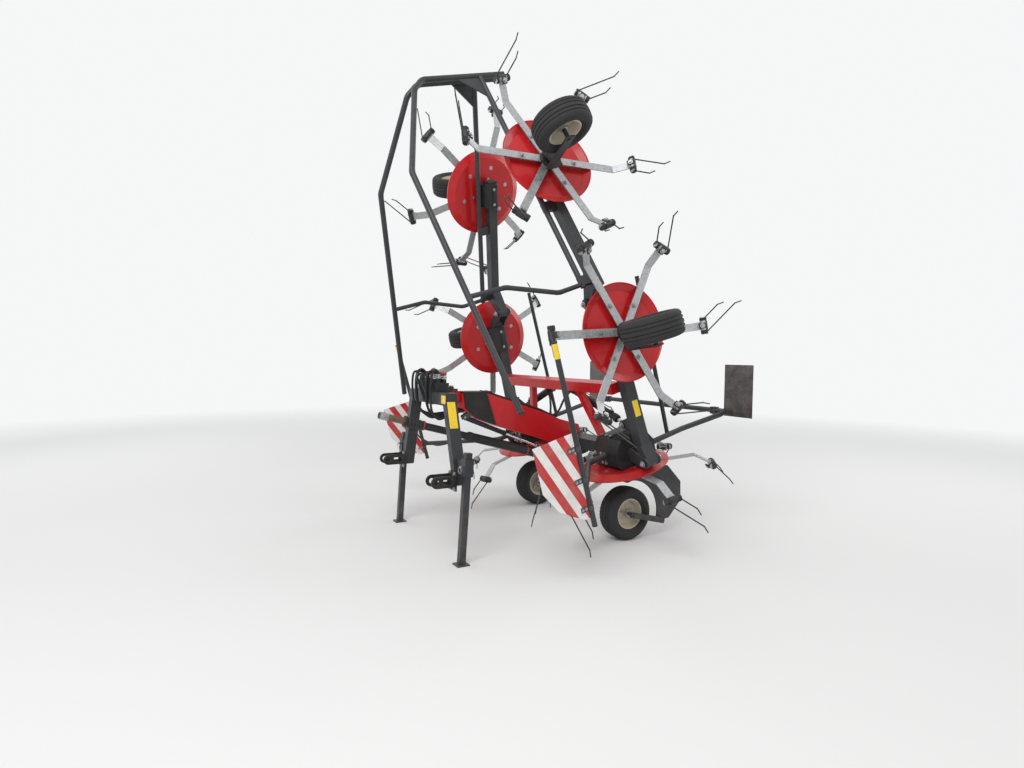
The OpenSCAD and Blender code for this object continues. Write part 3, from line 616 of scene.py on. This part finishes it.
class TEDDER_OT_paint(bpy.types.Operator):
    """Makes the materials and gives each construction node its finish"""
    bl_idname = "tedder.paint"
    bl_label = "Paint the construction nodes"

    def execute(self, context):
        colours = context.scene.tedder_colours
        stripes = (colours.red, colours.board_white, context.scene.tedder_sizes.stripe)
        paint("red_paint", colours.red, dust=0.12, chips=0.3, gloss=0.3, coat=0.3)
        paint("graphite_paint", colours.graphite, dust=0.18, chips=0.6, gloss=0.4, coat=0.12)
        paint("black_paint", colours.black, dust=0.22, chips=0.4, gloss=0.42, coat=0.1)
        paint("rim_paint", colours.cream, dust=0.5, chips=0.9, gloss=0.45, coat=0.05)
        striped("board_stripes", *stripes, across=0.788, up=0.6157, shift=0.4147)
        striped("rear_board_stripes", *stripes, across=0.7071, up=0.7071, shift=0, bare_to=REAR_BOARD_X)
        moulded("guard_plastic", (0.012, 0.012, 0.013), rough=0.42, dust=0.35)
        bare_metal("bare_steel", (0.33, 0.32, 0.30), rough=0.38, rust_share=0.6)
        bare_metal("chrome", (0.72, 0.72, 0.73), rough=0.1, rust_share=0.05)
        bare_metal("spring_steel", (0.022, 0.022, 0.023), rough=0.45, metallic=0.3)
        bare_metal("bolt_steel", (0.42, 0.42, 0.43), rough=0.32, rust_share=0.35)
        bare_metal("worn_shaft", (0.20, 0.15, 0.11), rough=0.5, rust_share=0.9, metallic=0.7)
        moulded("coupling_cap", (0.30, 0.012, 0.014), rough=0.45)
        moulded("hose_rubber", (0.012, 0.012, 0.012), rough=0.55)
        moulded("holder_rubber", (0.014, 0.014, 0.014), rough=0.6)
        tyre_rubber("tyre_rubber", (0.022, 0.021, 0.020))
        label_film("label_yellow", colours.yellow)
        for name, node in frame["nodes"].items():
            if name.startswith("tines_"):
                look = tine_finish(name.removeprefix("tines_"), colours.zinc)
            else:
                keys = [key for key, starts in NODE_LOOKS.items() if name.startswith(starts)]
                look = LOOKS[keys[0] if keys else "graphite_paint"]
            for slot in node.material_slots:
                slot.material = look
        return {"FINISHED"}


# A tyre's half crown: place across in half widths, radius in tyre radii and kind of band
PLAIN, RIB, GROOVE = range(3)
CROWN = ((-0.93, 0.9, PLAIN), (-0.80, 0.955, PLAIN), (-0.66, 0.979, RIB), (-0.56, 0.985, RIB),
         (-0.53, 0.987, GROOVE), (-0.45, 0.988, GROOVE), (-0.42, 0.992, RIB), (-0.26, 0.997, RIB),
         (-0.23, 0.997, GROOVE), (-0.15, 0.998, GROOVE), (-0.12, 1.0, RIB))
SLOT_SHARE = 0.34


def tyre_outline():
    """Closed outline of a tyre's wall as radius, place along the axle and kind of band."""
    half = TYRE_W / 2
    outline = [(RIM_R, -0.72 * half, PLAIN), (RIM_R + 0.006, -0.80 * half, PLAIN),
               (RIM_R + 0.016, -0.86 * half, PLAIN), (RIM_R + 0.020, -0.93 * half, PLAIN),
               (TYRE_R * 0.70, -0.985 * half, PLAIN), (TYRE_R * 0.76, -half, PLAIN),
               (TYRE_R * 0.83, -0.985 * half, PLAIN)]
    outline += [(TYRE_R * r, x * half, kind) for x, r, kind in CROWN]
    return outline + [(r, -x, kind) for r, x, kind in reversed(outline)]


def carve_tread(mesh, place, outline, depth, blocks):
    """Sinks the grooves round a tyre and the slots across its ribs."""
    half = TYRE_W / 2
    back = place.inverted()
    ribs = [x for r, x, kind in outline if kind == RIB]
    grooves = [x for r, x, kind in outline if kind == GROOVE]
    for vert in mesh.verts:
        local = back @ vert.co
        radius = math.hypot(local.x, local.y)
        if radius < TYRE_R * 0.94:
            continue
        phase = (math.atan2(local.y, local.x) / math.tau * blocks + local.z / half * 0.9) % 1.0
        if min(abs(local.z - x) for x in grooves) < min(abs(local.z - x) for x in ribs):
            sink = depth
        elif phase < SLOT_SHARE and radius < TYRE_R * 0.999:
            sink = depth * (0.75 if abs(local.z) > 0.5 * half else 0.4)
        else:
            continue
        scale = (radius - sink) / radius
        vert.co = place @ Vector((local.x * scale, local.y * scale, local.z))


class TEDDER_OT_tyres(bpy.types.Operator):
    """Ribbed tyres with cross grooves, in place of the plain ones"""
    bl_idname = "tedder.tyres"
    bl_label = "Make the tyres"

    def execute(self, context):
        sizes = context.scene.tedder_sizes
        outline = tyre_outline()
        for name, centre, axle in wheels():
            place = facing(axle, centre)
            mesh = bmesh.new()
            lathe(mesh, place, [(r, x) for r, x, kind in outline], sizes.tread_blocks * 3)
            bmesh.ops.remove_doubles(mesh, verts=mesh.verts, dist=1e-5)
            carve_tread(mesh, place, outline, sizes.rib_depth, sizes.tread_blocks)
            made = piece("tyre_tread_" + name, mesh, "tyre_rubber", "wheel_" + name, angle=50)
            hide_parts("tyre_" + name)
        return {"FINISHED"}


class TEDDER_OT_wheel_fittings(bpy.types.Operator):
    """Hub caps, wheel bolts and valves"""
    bl_idname = "tedder.wheel_fittings"
    bl_label = "Fit the hubs"

    def execute(self, context):
        for name, centre, axle in wheels():
            caps = bmesh.new()
            for way, start, bolt_seat in ((1, 0.030, 0.0075), (-1, 0.022, -0.0015)):
                place = facing(axle * way, centre)
                lathe(caps, place, [(0.0165, start), (0.030, start), (0.031, start + 0.006),
                                    (0.027, start + 0.014), (0.0165, start + 0.016)], 28)
                for bolt in range(5):
                    seat = place @ turn(bolt * 72 + 18, "Z") @ move(0.052, 0, bolt_seat)
                    bolt_head(caps, seat, 0.015, 0.007)
            valve = facing(axle, centre) @ turn(54, "Z") @ move(0.088, 0, 0.022)
            drum(caps, valve, 0.004, 0.03, 12, 0.001)
            piece("hub_fittings_" + name, caps, "bolt_steel", "wheel_" + name)
        return {"FINISHED"}


class TEDDER_OT_coils(bpy.types.Operator):
    """Wound spring coils over the tines' plain ones, with clamp plates and bolts on the holders"""
    bl_idname = "tedder.coils"
    bl_label = "Wind the tine coils"

    def execute(self, context):
        turns = context.scene.tedder_sizes.coil_turns
        steps = int(turns * 14)
        for side, section, name in rotors():
            coils, clamps, bolts = new_meshes(3)
            for arm in arm_places(side, section):
                place = holder_place(arm, section)
                for end in (-1, 1):
                    start = place @ move(0, end * HOLDER_LEN / 2, 0) @ turn(-90 * end, "X")
                    centre, axis = centre_and_axis(start)
                    wire = start @ move(COIL_R, 0, WIRE_R) @ turn(90, "X")
                    ring = bmesh.ops.create_circle(coils, cap_ends=False, segments=7, radius=WIRE_R,
                                                   matrix=wire)["verts"]
                    bmesh.ops.spin(coils, geom=ring + list(edges_of(ring)), cent=centre, axis=axis,
                                   dvec=axis * ((COIL_LEN - 2 * WIRE_R) / steps), angle=turns * math.tau,
                                   steps=steps, use_merge=False)
                under = place @ move(-0.012, 0, -0.035)
                block(clamps, under @ move(0, 0, 0.005), (0.052, 0.040, 0.010), 0.002)
                bolt_head(bolts, under @ turn(180, "X"), 0.019, 0.009)
            for word, mesh, look, angle in (("coils_", coils, "spring_steel", 60),
                                            ("tine_clamps_", clamps, "holder_rubber", 38),
                                            ("tine_bolts_", bolts, "bolt_steel", 38)):
                piece(word + name, mesh, look, "rotor_" + name, angle)
        return {"FINISHED"}


class TEDDER_OT_rotor_fittings(bpy.types.Operator):
    """Bolts of the rotors' arms, under and on the discs"""
    bl_idname = "tedder.rotor_fittings"
    bl_label = "Bolt the rotors"

    def execute(self, context):
        disc_top = 0.0385
        for side, section, name in rotors():
            bolts = bmesh.new()
            for arm in arm_places(side, section):
                bolt_head(bolts, arm @ move(0.21, 0, -0.0165) @ turn(180, "X"), 0.018, 0.009)
                bolt_head(bolts, arm @ move(0.21, 0, disc_top), 0.018, 0.0025)
                bolt_head(bolts, arm @ move(0.115, 0, disc_top), 0.015, 0.0025)
            piece("arm_bolts_" + name, bolts, "bolt_steel", "rotor_" + name)
        return {"FINISHED"}


class TEDDER_OT_labels(bpy.types.Operator):
    """Blank yellow labels where the machine carries them"""
    bl_idname = "tedder.labels"
    bl_label = "Stick the blank labels"

    def execute(self, context):
        plates = []
        for side, sign in SIDES.items():
            boom = in_section(sign, 1) @ move(1.385, 0, BOOM_H - MIDDLE_BOOM_S / 2 - 0.0006)
            plates.append(("boom_label_" + side, boom, 0.12, 0.05, "middle_" + side))
            leg = move(sign * 0.3936, HEADSTOCK_Y - 0.004, 0.9943) @ turn(90 - sign * 18.16, "Y")
            plates.append(("leg_label_" + side, leg, 0.19, 0.062, "headstock"))
            wrapped = bmesh.new()
            post = in_section(sign, 0) @ move(POST_X, -POST_AHEAD, 1.095)
            sleeve(wrapped, post, 0.0168, 0.0176, 0, 0.09, 32)
            piece("post_label_" + side, wrapped, "label_yellow", "frame")
        mast = move(0.325, HEADSTOCK_Y - 0.0456, MAST_Z) @ turn(90, "X")
        plates.append(("mast_label", mast, 0.075, 0.058, "headstock"))
        for name, place, length, width, body in plates:
            mesh = bmesh.new()
            block(mesh, place, (length, width, 0.0012), 0.0004, 1)
            piece(name, mesh, "label_yellow", body)
        return {"FINISHED"}


class TEDDER_OT_drive_shaft(bpy.types.Operator):
    """Telescoping guard tubes with their bells and locking rings, and the worn yoke"""
    bl_idname = "tedder.drive_shaft"
    bl_label = "Fit the drive shaft"

    def execute(self, context):
        length = (SHAFT_FRONT - SHAFT_REAR).length
        place = FRAME @ facing((SHAFT_FRONT - SHAFT_REAR).normalized(), SHAFT_REAR)
        near = 0.08
        step = length * 0.56
        guard, rings, yoke = new_meshes(3)
        outline = [(0.018, near), (0.041, near)]
        for ring in range(5):
            at = near + 0.012 + ring * 0.022
            outline += [(0.0415, at), (0.0375, at + 0.007), (0.0375, at + 0.011), (0.0415, at + 0.018)]
        outline += [(0.036, near + 0.128), (0.036, step), (0.039, step + 0.004), (0.039, step + 0.026),
                    (0.0355, step + 0.034), (0.028, step + 0.036), (0.028, length - 0.17),
                    (0.034, length - 0.165), (0.034, length - 0.142)]
        for ring in range(4):
            at = length - 0.138 + ring * 0.028
            wide = 0.037 + ring * 0.001
            outline += [(0.034, at), (wide, at + 0.009), (wide, at + 0.017), (0.0345, at + 0.026)]
        outline += [(0.0415, length - 0.008), (0.0415, length), (0.018, length)]
        lathe(guard, place, outline, 40)
        made = piece("shaft_guard_tubes", guard, "guard_plastic", "frame")
        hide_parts("shaft_guard")
        for at, radius in ((near + 0.128, 0.0365), (length - 0.155, 0.0345)):
            lathe(rings, place, [(radius, at - 0.006), (radius + 0.0035, at - 0.004),
                                 (radius + 0.0035, at + 0.004), (radius, at + 0.006)], 32)
        piece("shaft_lock_rings", rings, "coupling_cap", "frame")
        lathe(yoke, place @ move(0, 0, length + 0.16), [
            (0.0176, -0.032), (0.0262, -0.032), (0.0275, -0.026), (0.0275, 0.026), (0.0262, 0.032),
            (0.0176, 0.032)], 32)
        drum(yoke, place @ move(0.029, 0, length + 0.162) @ turn(90, "Y"), 0.008, 0.012, 18, 0.001)
        piece("shaft_yoke_collar", yoke, "bolt_steel", "drive_shaft")
        return {"FINISHED"}


# Hose couplings from left to right, the low hose as X and Z, the beam's upper edge as Y and height
COUPLINGS_X = (-0.161, -0.125, -0.089, 0.089, 0.125, 0.161)
LOW_HOSE = ((-0.425, 0.815), (-0.39, 0.803), (-0.242, 0.762), (-0.073, 0.744), (0.106, 0.745),
            (0.308, 0.787), (0.40, 0.828), (0.425, 0.84))
BEAM_TOP = ((-0.716, 0.768), (-0.69, 0.7557), (-0.60, 0.697), (-0.446, 0.597), (-0.27, 0.481),
            (-0.15, 0.390))
HOSE_R = 0.0085


class TEDDER_OT_hoses(bpy.types.Operator):
    """Hose couplings on their blocks and the fixed runs of hose along the beam to the cylinders"""
    bl_idname = "tedder.hoses"
    bl_label = "Lay the hoses"

    def execute(self, context):
        nuts, caps, front, low, beam, clips = new_meshes(6)
        head = move(0, HEADSTOCK_Y, MAST_Z)
        for number, x in enumerate(COUPLINGS_X):
            front_socket, rear_socket = (head @ move(x, back, 0.138) for back in (-0.012, 0.034))
            for socket in (front_socket, rear_socket):
                hex_nut(nuts, socket @ move(0, 0, 0.004), 0.03, 0.016)
                hex_nut(nuts, socket @ move(0, 0, 0.022), 0.024, 0.014)
            drum(caps, rear_socket @ move(0, 0, 0.040), 0.015, 0.024, 20, 0.004)
            lane = (number - 2.5) * 0.017
            rise = 0.024 + 0.008 * (number % 3)
            out = -0.056 if number % 2 else -0.078
            hose(front, points_at(head, (
                (x, -0.012, 0.166), (x, -0.015, 0.182), (x + 0.004, out * 0.5 - 0.012, 0.166 + rise),
                (x + 0.006, out - 0.012, 0.166 + rise * 0.1), (x * 0.96, out - 0.018, 0.05),
                (x * 0.86, out * 0.8 - 0.012, -0.075 - 0.02 * (number % 2)),
                (x * 0.66, 0.015, -0.135 - 0.014 * (number % 3)), (lane * 2.0, 0.11, -0.135),
                (lane * 1.2, SWIVEL_Y - HEADSTOCK_Y + 0.088, -0.112))), HOSE_R)
        hose(low, [(x, HEADSTOCK_Y - 0.001, z) for x, z in LOW_HOSE], 0.007)
        for side in SIDES.values():
            for lane, lift, root, port in ((0.012, 0.0095, 0.13, 0.15), (0.034, 0.0105, 0.165, 0.185)):
                points = [(side * lane, y, z + lift) for y, z in BEAM_TOP]
                points += [(side * 0.06, -0.10, 0.42), (side * 0.10, -0.055, 0.50),
                           (side * root, -0.02, 0.565), (side * port, 0.012, 0.588)]
                hose(beam, points_at(FRAME, points), HOSE_R)
        for y, z in ((-0.66, 0.758), (-0.36, 0.5585)):
            block(clips, FRAME @ move(0, y, z) @ turn(-33.5, "X"), (0.105, 0.022, 0.016))
        piece("coupling_nuts", nuts, "bolt_steel", "headstock")
        piece("coupling_caps", caps, "coupling_cap", "headstock")
        piece("front_hoses", front, "hose_rubber", "headstock", angle=60)
        piece("low_hose", low, "hose_rubber", "headstock", angle=60)
        piece("beam_hoses", beam, "hose_rubber", "frame", angle=60)
        piece("hose_clips", clips, "holder_rubber", "frame")
        return {"FINISHED"}


# Each section's gearbox: front, rear and top of its case, half its length and the size of its lid
GEARBOXES = ((-0.175, 0.19, 0.262, 0.14, (0.12, 0.20)), (-0.09, 0.09, 0.208, 0.11, (0.17, 0.05)),
             (-0.085, 0.085, 0.204, 0.095, (0.15, 0.042)))
FOOT_BOLT_H = 0.085


class TEDDER_OT_gearbox_fittings(bpy.types.Operator):
    """Ribs, lids, bearing caps and bolts of the gearboxes"""
    bl_idname = "tedder.gearbox_fittings"
    bl_label = "Bolt the gearboxes"

    def execute(self, context):
        for side, section, name in rotors():
            low, high, top, half, lid = GEARBOXES[section]
            if section:
                lid_x, cap_x, cap_r = 0, half - 0.001, 0.066
                ribs = (-half, half - 0.005)
                lid_bolts = [(x, -0.3) for x in (-0.42, 0.42)]
                face_bolts = [(x, FOOT_BOLT_H) for x in (0.03 - half, 0, half - 0.03)]
            else:
                lid_x, cap_x, cap_r = -0.02, half + 0.0465, 0.078
                ribs = [0.0575 + 0.0138 * step for step in range(10)]
                lid_bolts = [(x, y) for x in (-0.42, 0, 0.42) for y in (-0.44, 0.44)]
                face_bolts = [(x, z) for x in (-0.07, 0, 0.04) for z in (FOOT_BOLT_H, top - 0.103)]
            cast, bolts = new_meshes(2)
            place = rotor_place(side, section)
            rib = [(low - 0.004, 0.075), (low + 0.02, 0.041), (high - 0.02, 0.041),
                   (high + 0.004, 0.075), (high + 0.004, top - 0.09), (high - 0.06, top + 0.004),
                   (low + 0.06, top + 0.004), (low - 0.004, top - 0.09)]
            for x in ribs:
                plate(cast, place @ move(x, 0, 0) @ ACROSS, rib, 0.005, 0.0012)
            lid_place = place @ move(lid_x, (low + high) / 2, top + 0.003)
            block(cast, lid_place, (*lid, 0.008), 0.002)
            for x, y in lid_bolts:
                bolt_head(bolts, lid_place @ move(x * lid[0], y * lid[1], 0.004), 0.013, 0.006)
            for end, way in ((low, 90), (high, -90)):
                for x, z in face_bolts:
                    bolt_head(bolts, place @ move(x, end, z) @ turn(way, "X"), 0.014, 0.007)
            drum(cast, place @ move(cap_x, 0, 0.132) @ turn(90, "Y"), cap_r, 0.016, 40, 0.003)
            body = name if section else "frame"
            piece("gearbox_castings_" + name, cast, "black_paint", body)
            piece("gearbox_bolts_" + name, bolts, "bolt_steel", body)
        return {"FINISHED"}


class TEDDER_OT_hinge_fittings(bpy.types.Operator):
    """Washers and nuts on the hinge pins and the pins of the fold cylinders"""
    bl_idname = "tedder.hinge_fittings"
    bl_label = "Secure the hinge pins"

    def execute(self, context):
        eye = (FOLD_HINGE[0] + ROD_EYE[0], FOLD_HINGE[1] + ROD_EYE[1])
        for side, sign in SIDES.items():
            frame_nuts, wing_nuts = new_meshes(2)
            for mesh, section, (x, h), ends, across in (
                    (frame_nuts, 0, FOLD_HINGE, (-0.0783, 0.0783), 0.038),
                    (frame_nuts, 0, BARREL_PIN, (0.064,), 0.034),
                    (wing_nuts, 1, TIP_HINGE, (-0.07, 0.07), 0.038),
                    (wing_nuts, 1, eye, (-0.004, 0.064), 0.038)):
                for end in ends:
                    way = 90 if end < 0 else -90
                    place = in_section(sign, section) @ move(x, end, h) @ turn(way, "X")
                    drum(mesh, place @ move(0, 0, 0.0016), across * 0.66, 0.0034, 28, 0.0008)
                    hex_nut(mesh, place @ move(0, 0, 0.003) @ turn(15, "Z"), across * 0.78, 0.012)
                    drum(mesh, place @ move(0, 0, 0.017), across * 0.2, 0.006, 16, 0.001)
            piece("fold_pin_nuts_" + side, frame_nuts, "bolt_steel", "frame")
            piece("wing_pin_nuts_" + side, wing_nuts, "bolt_steel", "middle_" + side)
        return {"FINISHED"}


class TEDDER_OT_cylinder_fittings(bpy.types.Operator):
    """Gland, weld rings, oil ports and steel pipe of each fold cylinder"""
    bl_idname = "tedder.cylinder_fittings"
    bl_label = "Fit the fold cylinders"

    def execute(self, context):
        hinge = Vector((FOLD_HINGE[0], 0, FOLD_HINGE[1]))
        eye = hinge + turn(-FOLD_ANGLE, "Y") @ Vector((ROD_EYE[0], 0, ROD_EYE[1]))
        root = Vector((BARREL_PIN[0], 0, BARREL_PIN[1]))
        length = (eye - root).length
        slope = math.degrees(math.atan2(eye.z - root.z, eye.x - root.x))
        end = length - 0.028 - ROD_SHOW
        seam = length - 0.030
        for side, sign in SIDES.items():
            place = in_section(sign, 0) @ move(root.x, CYLINDER_Y, root.z) @ turn(90 - slope, "Y")
            rings, pipes, weld = new_meshes(3)
            lathe(rings, place, [(0.0275, end - 0.042), (0.0322, end - 0.039), (0.0322, end - 0.006),
                                 (0.0300, end + 0.003), (0.0148, end + 0.003), (0.0148, end - 0.0015),
                                 (0.0275, end - 0.0015)], 36)
            lathe(rings, place, [(0.0275, 0.046), (0.0315, 0.049), (0.0315, 0.064), (0.0275, 0.067)], 36)
            for at in (0.092, end - 0.07):
                block(rings, place @ move(-0.032, 0, at), (0.018, 0.026, 0.030))
                hex_nut(pipes, place @ move(-0.041, 0, at) @ turn(-90, "Y"), 0.019, 0.010)
            hose(pipes, points_at(place, (
                (-0.050, 0, end - 0.07), (-0.058, 0.004, end - 0.078), (-0.054, 0.012, end - 0.10),
                (-0.040, 0.016, end - 0.13), (-0.036, 0.017, end * 0.5), (-0.038, 0.018, 0.15),
                (-0.046, 0.02, 0.115), (-0.052, 0.02, 0.10))), 0.0045, 8)
            lathe(weld, place, [(0.0128, seam - 0.012), (0.0165, seam - 0.006), (0.0185, seam),
                                (0.0185, seam + 0.006), (0.0128, seam + 0.006)], 28)
            piece("barrel_rings_" + side, rings, "black_paint", "barrel_" + side)
            piece("barrel_pipes_" + side, pipes, "bolt_steel", "barrel_" + side)
            piece("rod_weld_" + side, weld, "bare_steel", "rod_" + side)
        return {"FINISHED"}


class TEDDER_OT_frame_fittings(bpy.types.Operator):
    """End caps of the guard tubes, and straps and bolts of the warning boards"""
    bl_idname = "tedder.frame_fittings"
    bl_label = "Close the guard tubes and bolt the boards"

    def execute(self, context):
        outer_rotor_x = 2.5 * ROTOR_PITCH
        for side, sign in SIDES.items():
            caps, wing_caps, straps, bolts = new_meshes(4)
            inner, outer = in_section(sign, 0), in_section(sign, 2)
            post = inner @ move(POST_X, -POST_AHEAD, 0)
            for place, radius in ((post @ move(0, 0, 1.192), 0.0178), (post @ move(0, 0, 0.038), 0.0178),
                                  (inner @ move(REAR_UPRIGHT_X, 0.385, 1.382), 0.0168)):
                drum(caps, place, radius, 0.010, 24)
            for place in (move(outer_rotor_x - 1.646, -0.985, BOOM_H) @ turn(90, "Y"),
                          move(outer_rotor_x + 0.89, 0.091, BOOM_H) @ turn(90, "X")):
                drum(wing_caps, outer @ place, 0.0218, 0.012, 28, 0.003)
            for height in (0.16, 0.34, 0.54):
                clamp = post @ move(0, 0, height)
                block(straps, clamp @ move(-0.0015, -0.042, 0), (0.003, 0.058, 0.034), 0.0008)
                sleeve(straps, clamp, 0.0171, 0.0196, -0.014, 0.014)
                for y in (-0.034, -0.060):
                    bolt_head(bolts, clamp @ move(0, y, 0) @ turn(90, "Y"), 0.011, 0.005)
                    bolt_head(bolts, clamp @ move(-0.006, y, 0) @ turn(-90, "Y"), 0.011, 0.005)
            rear = inner @ move(REAR_UPRIGHT_X + 0.005, 1.0, 0.128) @ turn(-FRAME_TILT, "X")
            for x in (0.018, 0.066):
                for z in (-0.0096, 0.0096):
                    bolt_head(bolts, rear @ move(x, 0.028, z) @ turn(-90, "X"), 0.010, 0.005)
            for x in (-0.093, -0.059):
                bolt_head(bolts, rear @ move(x, 0, -0.029) @ turn(180, "X"), 0.012, 0.006)
            piece("tube_caps_" + side, caps, "guard_plastic", "frame")
            piece("wing_tube_caps_" + side, wing_caps, "guard_plastic", "outer_" + side)
            piece("board_straps_" + side, straps, "graphite_paint", "frame")
            piece("board_bolts_" + side, bolts, "bolt_steel", "frame")
        return {"FINISHED"}


class TEDDER_OT_damper(bpy.types.Operator):
    """Damper under the main beam: black tube, bright rod and an eye on a lug at each end"""
    bl_idname = "tedder.damper"
    bl_label = "Hang the damper"

    def execute(self, context):
        tube, bright, lugs, pins = new_meshes(4)
        front, back, front_base, back_base = points_at(FRAME @ move(0.05, 0, 0), (
            (0, -0.940, 0.642), (0, -0.352, 0.188), (0, -0.880, 0.655), (0, -0.215, 0.115)))
        step = back - front
        rod(tube, front + step * 0.03, front + step * 0.52, 0.019, 32)
        rod(tube, front + step * 0.50, front + step * 0.53, 0.0215, 32)
        rod(bright, front + step * 0.52, front + step * 0.975, 0.0095)
        for at, base in ((front, front_base), (back, back_base)):
            eye = move(*at) @ turn(90, "Y")
            drum(lugs, eye, 0.019, 0.024, 28)
            drum(pins, eye, 0.009, 0.056, 18, 0.001)
            for across in (-0.018, 0.018):
                middle = facing(base - at, (at + base) / 2 + Vector((across, 0, 0)))
                block(lugs, middle, (0.007, 0.040, (base - at).length + 0.03), 0.002, 1)
        piece("damper_tube", tube, "black_paint", "frame")
        piece("damper_rod", bright, "chrome", "frame")
        piece("damper_lugs", lugs, "graphite_paint", "frame")
        piece("damper_pins", pins, "bolt_steel", "frame")
        return {"FINISHED"}


class TEDDER_OT_headstock_fittings(bpy.types.Operator):
    """Ring pins of the stands, bolts of the link plates and nuts of the steering pin"""
    bl_idname = "tedder.headstock_fittings"
    bl_label = "Pin the stands"

    def execute(self, context):
        pins, bolts = new_meshes(2)
        ring_r = 0.022
        for sign in (1, -1):
            pin = (move(sign * STAND_X, HEADSTOCK_Y - 0.034, 0) @ turn(-STAND_LEAN, "X")
                   @ move(0, -0.044, 0.665))
            drum(pins, pin @ turn(90, "X"), 0.0075, 0.026, 18, 0.0015)
            angles = [math.tau * step / 14 for step in range(15)]
            hose(pins, points_at(pin, [(ring_r * math.sin(a), -0.010 - 0.002 * math.cos(a),
                                        ring_r * (math.cos(a) - 1)) for a in angles]), 0.0022, 8, 3)
            for across in (-0.038, 0.038):
                for height in (-0.056, 0.048):
                    seat = move(sign * LINK_X + across, HEADSTOCK_Y - 0.054, LINK_Z + height)
                    bolt_head(bolts, seat @ turn(90, "X"), 0.017, 0.009)
        for height, way in ((0.070, 0), (-0.070, 180)):
            hex_nut(bolts, move(0, SWIVEL_Y, MAST_Z + height) @ turn(way, "X"), 0.032, 0.012)
        piece("stand_pins", pins, "bolt_steel", "headstock")
        piece("headstock_bolts", bolts, "bolt_steel", "headstock")
        return {"FINISHED"}


class TEDDER_OT_stage(bpy.types.Operator):
    """Pale floor, soft lights and the camera of the photograph"""
    bl_idname = "tedder.stage"
    bl_label = "Set the stage"

    def execute(self, context):
        scene = context.scene
        mesh = bmesh.new()
        bmesh.ops.create_grid(mesh, x_segments=1, y_segments=1, size=90)
        data = bpy.data.meshes.new("floor")
        mesh.to_mesh(data)
        mesh.free()
        floor = bpy.data.objects.new("floor", data)
        scene.collection.objects.link(floor)
        data.materials.append(floor_surface("floor", scene.tedder_colours.floor))
        floor.location.z = -0.0005

        # The world lights at 0.62 and shows at full strength to the camera and in bright metal
        world = scene.world = bpy.data.worlds.new("sky")
        world.use_nodes = True
        sky = Nodes(world.node_tree)
        seen = sky.node("ShaderNodeLightPath", out="Is Camera Ray").larger(
            sky.node("ShaderNodeLightPath", out="Is Glossy Ray"))
        back = sky.tree.nodes["Background"]
        back.inputs["Color"].default_value = rgba(BACKDROP)
        sky.tree.links.new((seen * 0.38 + 0.62).socket, back.inputs["Strength"])

        for name, place, size, power, aim in (
                ("key", (4.5, -5.0, 7.0), 5.0, 430, (0, 0, 1.6)),
                ("fill", (-5.5, -4.0, 4.5), 6.0, 110, (0, 0, 1.6)),
                ("rim", (1.0, 6.0, 5.5), 5.0, 170, (0, 0, 1.8))):
            lamp = bpy.data.lights.new(name, "AREA")
            lamp.size = size
            lamp.energy = power
            holder = bpy.data.objects.new(name, lamp)
            scene.collection.objects.link(holder)
            holder.matrix_world = facing(Vector(place) - Vector(aim), place)

        camera = bpy.data.objects.new("camera", bpy.data.cameras.new("camera"))
        scene.collection.objects.link(camera)
        camera.data.sensor_width = 36
        camera.data.lens = 21.713
        camera.location = (4.3537, -2.7101, 1.4266)
        camera.rotation_euler = [math.radians(angle) for angle in (87.2424, -0.6597, 60.3966)]
        scene.camera = camera
        scene.view_settings.view_transform = "Standard"
        return {"FINISHED"}


STEPS = (TEDDER_OT_stage, TEDDER_OT_paint, TEDDER_OT_tyres, TEDDER_OT_wheel_fittings, TEDDER_OT_coils,
         TEDDER_OT_rotor_fittings, TEDDER_OT_labels, TEDDER_OT_drive_shaft, TEDDER_OT_hoses,
         TEDDER_OT_gearbox_fittings, TEDDER_OT_hinge_fittings, TEDDER_OT_cylinder_fittings,
         TEDDER_OT_frame_fittings, TEDDER_OT_damper, TEDDER_OT_headstock_fittings)


class TEDDER_PT_looks(bpy.types.Panel):
    """Lists the steps that dress the tedder"""
    bl_label = "Tedder"
    bl_idname = "TEDDER_PT_looks"
    bl_space_type = "VIEW_3D"
    bl_region_type = "UI"
    bl_category = "Tedder"

    def draw(self, context):
        for group in (context.scene.tedder_colours, context.scene.tedder_sizes):
            for key in group.__annotations__:
                self.layout.prop(group, key)
        for step in STEPS:
            self.layout.operator(step.bl_idname)


CLASSES = (TedderColours, TedderSizes, *STEPS, TEDDER_PT_looks)


def register():
    for kind in CLASSES:
        bpy.utils.register_class(kind)
    bpy.types.Scene.tedder_colours = PointerProperty(type=TedderColours)
    bpy.types.Scene.tedder_sizes = PointerProperty(type=TedderSizes)


def unregister():
    del bpy.types.Scene.tedder_sizes
    del bpy.types.Scene.tedder_colours
    for kind in reversed(CLASSES):
        bpy.utils.unregister_class(kind)


def main():
    register()
    for step in STEPS:
        group, name = step.bl_idname.split(".")
        getattr(getattr(bpy.ops, group), name)()


if __name__ == "__main__":
    main()
